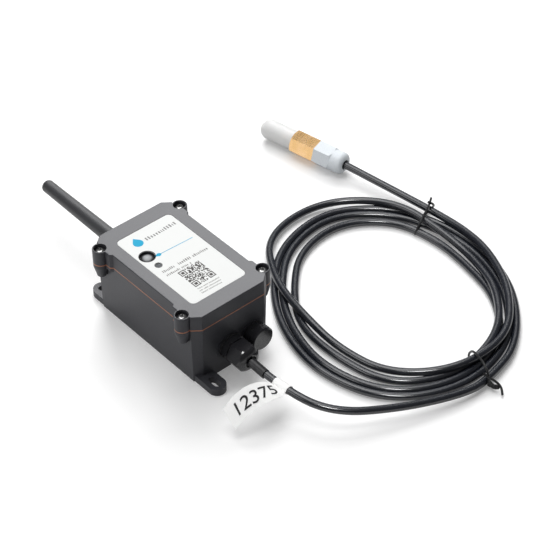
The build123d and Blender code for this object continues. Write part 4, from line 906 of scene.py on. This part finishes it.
# From 0.4 m to 1.5 m the table looks whiter and whiter. The stops are at these distances times the scale.
FAR_SCALE = 0.5
FAR_STOPS = [(0.2, (0.0, 0.0, 0.0)), (0.75, (0.75, 0.75, 0.75))]
bpy.ops.mesh.primitive_plane_add(size=TABLE_SIZE, location=(0.0, 0.0, -TABLE_DROP))
floor = bpy.context.object
floor.name = "floor"
floor_net = Net("white table")
path = floor_net.add("ShaderNodeLightPath", output="Is Camera Ray")
seen = path + path.output("Is Glossy Ray") + path.output("Is Transmission Ray")
floor_net.set(Base_Color=floor_net.ramp(seen, [(0.0, TABLE_BOUNCE), (1.0, TABLE_SEEN)]))
floor_net.set(Roughness=0.9)
floor_net.set(Specular_IOR_Level=0.0)
reach = floor_net.add("ShaderNodeVectorMath", {"operation": "LENGTH"}, {0: floor_net.place()}, output="Value")
far = floor_net.ramp(reach * FAR_SCALE, FAR_STOPS)
glow = floor_net.add("ShaderNodeEmission", None, {"Strength": seen * (far + FLOOR_WHITE)})
lit = Wire(floor_net, floor_net.shader.outputs[0])
total = floor_net.add("ShaderNodeAddShader", None, {0: lit, 1: glow})
floor_net.join(total, floor_net.out.inputs["Surface"])
floor.data.materials.append(floor_net.material)
floor.select_set(False)
print("table", TABLE_SIZE, "m wide")

# %% World
world = bpy.data.worlds.new("studio")
bpy.context.scene.world = world
world.use_nodes = True
background = world.node_tree.nodes["Background"]
background.inputs["Color"].default_value = (1.0, 1.0, 1.0, 1.0)
background.inputs["Strength"].default_value = 0.12
print("world", world.name)

# %% [markdown]
# ## Lamps
#
# One lamp could light everything, but a dark matt moulding needs far more light than white nylon before it
# shows its sheen. So the three main lamps light all pieces at a plain level, and three more lamps are linked
# to the pieces that need them.


# %% Main lamps
def soft_lamp(name, place, target, size, power):
    """A rectangular soft lamp that looks at a point."""
    bpy.ops.object.light_add(type="AREA", location=place)
    lamp = bpy.context.object
    lamp.name = name
    lamp.data.shape = "RECTANGLE"
    lamp.data.size = size[0]
    lamp.data.size_y = size[1]
    lamp.data.energy = power
    aim = Vector(target) - Vector(place)
    lamp.rotation_euler = aim.to_track_quat("-Z", "Y").to_euler()
    lamp.select_set(False)
    return lamp


BACK_PLACE = (0.80, 0.85, 1.00)
BACK_SIZE = (1.0, 0.8)
MIDDLE = (0.05, -0.03, 0.0)
back = soft_lamp("back", BACK_PLACE, MIDDLE, BACK_SIZE, 20.0)
back.visible_glossy = False
soft_lamp("overhead", (0.05, 0.30, 1.40), MIDDLE, (1.2, 0.9), 11.0)
soft_lamp("left", (-1.10, 0.30, 0.70), (0.0, -0.03, 0.0), (0.8, 0.6), 3.5)
print("main lamps", len(bpy.data.lights))


# %% Lamps for some pieces
def lights_only(lamp, name, pieces):
    """Link a lamp to the pieces that receive its light."""
    receivers = bpy.data.collections.new(name)
    for piece in pieces:
        receivers.objects.link(piece)
    lamp.light_linking.receiver_collection = receivers


# The matt sheen on the dark mouldings comes from a second lamp at the back, which only they receive. The
# bright metals and pale plastics would burn out in it.
sheen = soft_lamp("sheen", BACK_PLACE, MIDDLE, BACK_SIZE, 32.0)
sheen.visible_diffuse = False
dark_names = ("base_shell", "lid", "antenna", "gland_body", "gland_nut", "vent_plug")
lights_only(sheen, "dark mouldings", [NODES[name] for name in dark_names] + [cable])

# A small lamp near the viewer's left gives the glossy nylon and the cable their narrow highlights.
glint = soft_lamp("glint", (-0.42, -0.55, 1.20), (0.05, -0.05, 0.0), (0.35, 0.35), 10.0)
glint.visible_diffuse = False
glossy_names = ("gland_body", "gland_nut", "vent_plug", "cable_sleeve")
lights_only(glint, "glossy mouldings", [NODES[name] for name in glossy_names] + [cable])

# The white table throws light back onto the near sides of the pale pieces, and this low lamp stands for it.
bounce = soft_lamp("bounce", (-0.60, -0.70, 0.40), (0.15, 0.08, 0.01), (1.0, 0.5), 4.0)
bounce.visible_glossy = False
lights_only(bounce, "pale pieces", [NODES["probe_nut"], NODES["probe_cap"], flag])
print("lamps", len(bpy.data.lights))
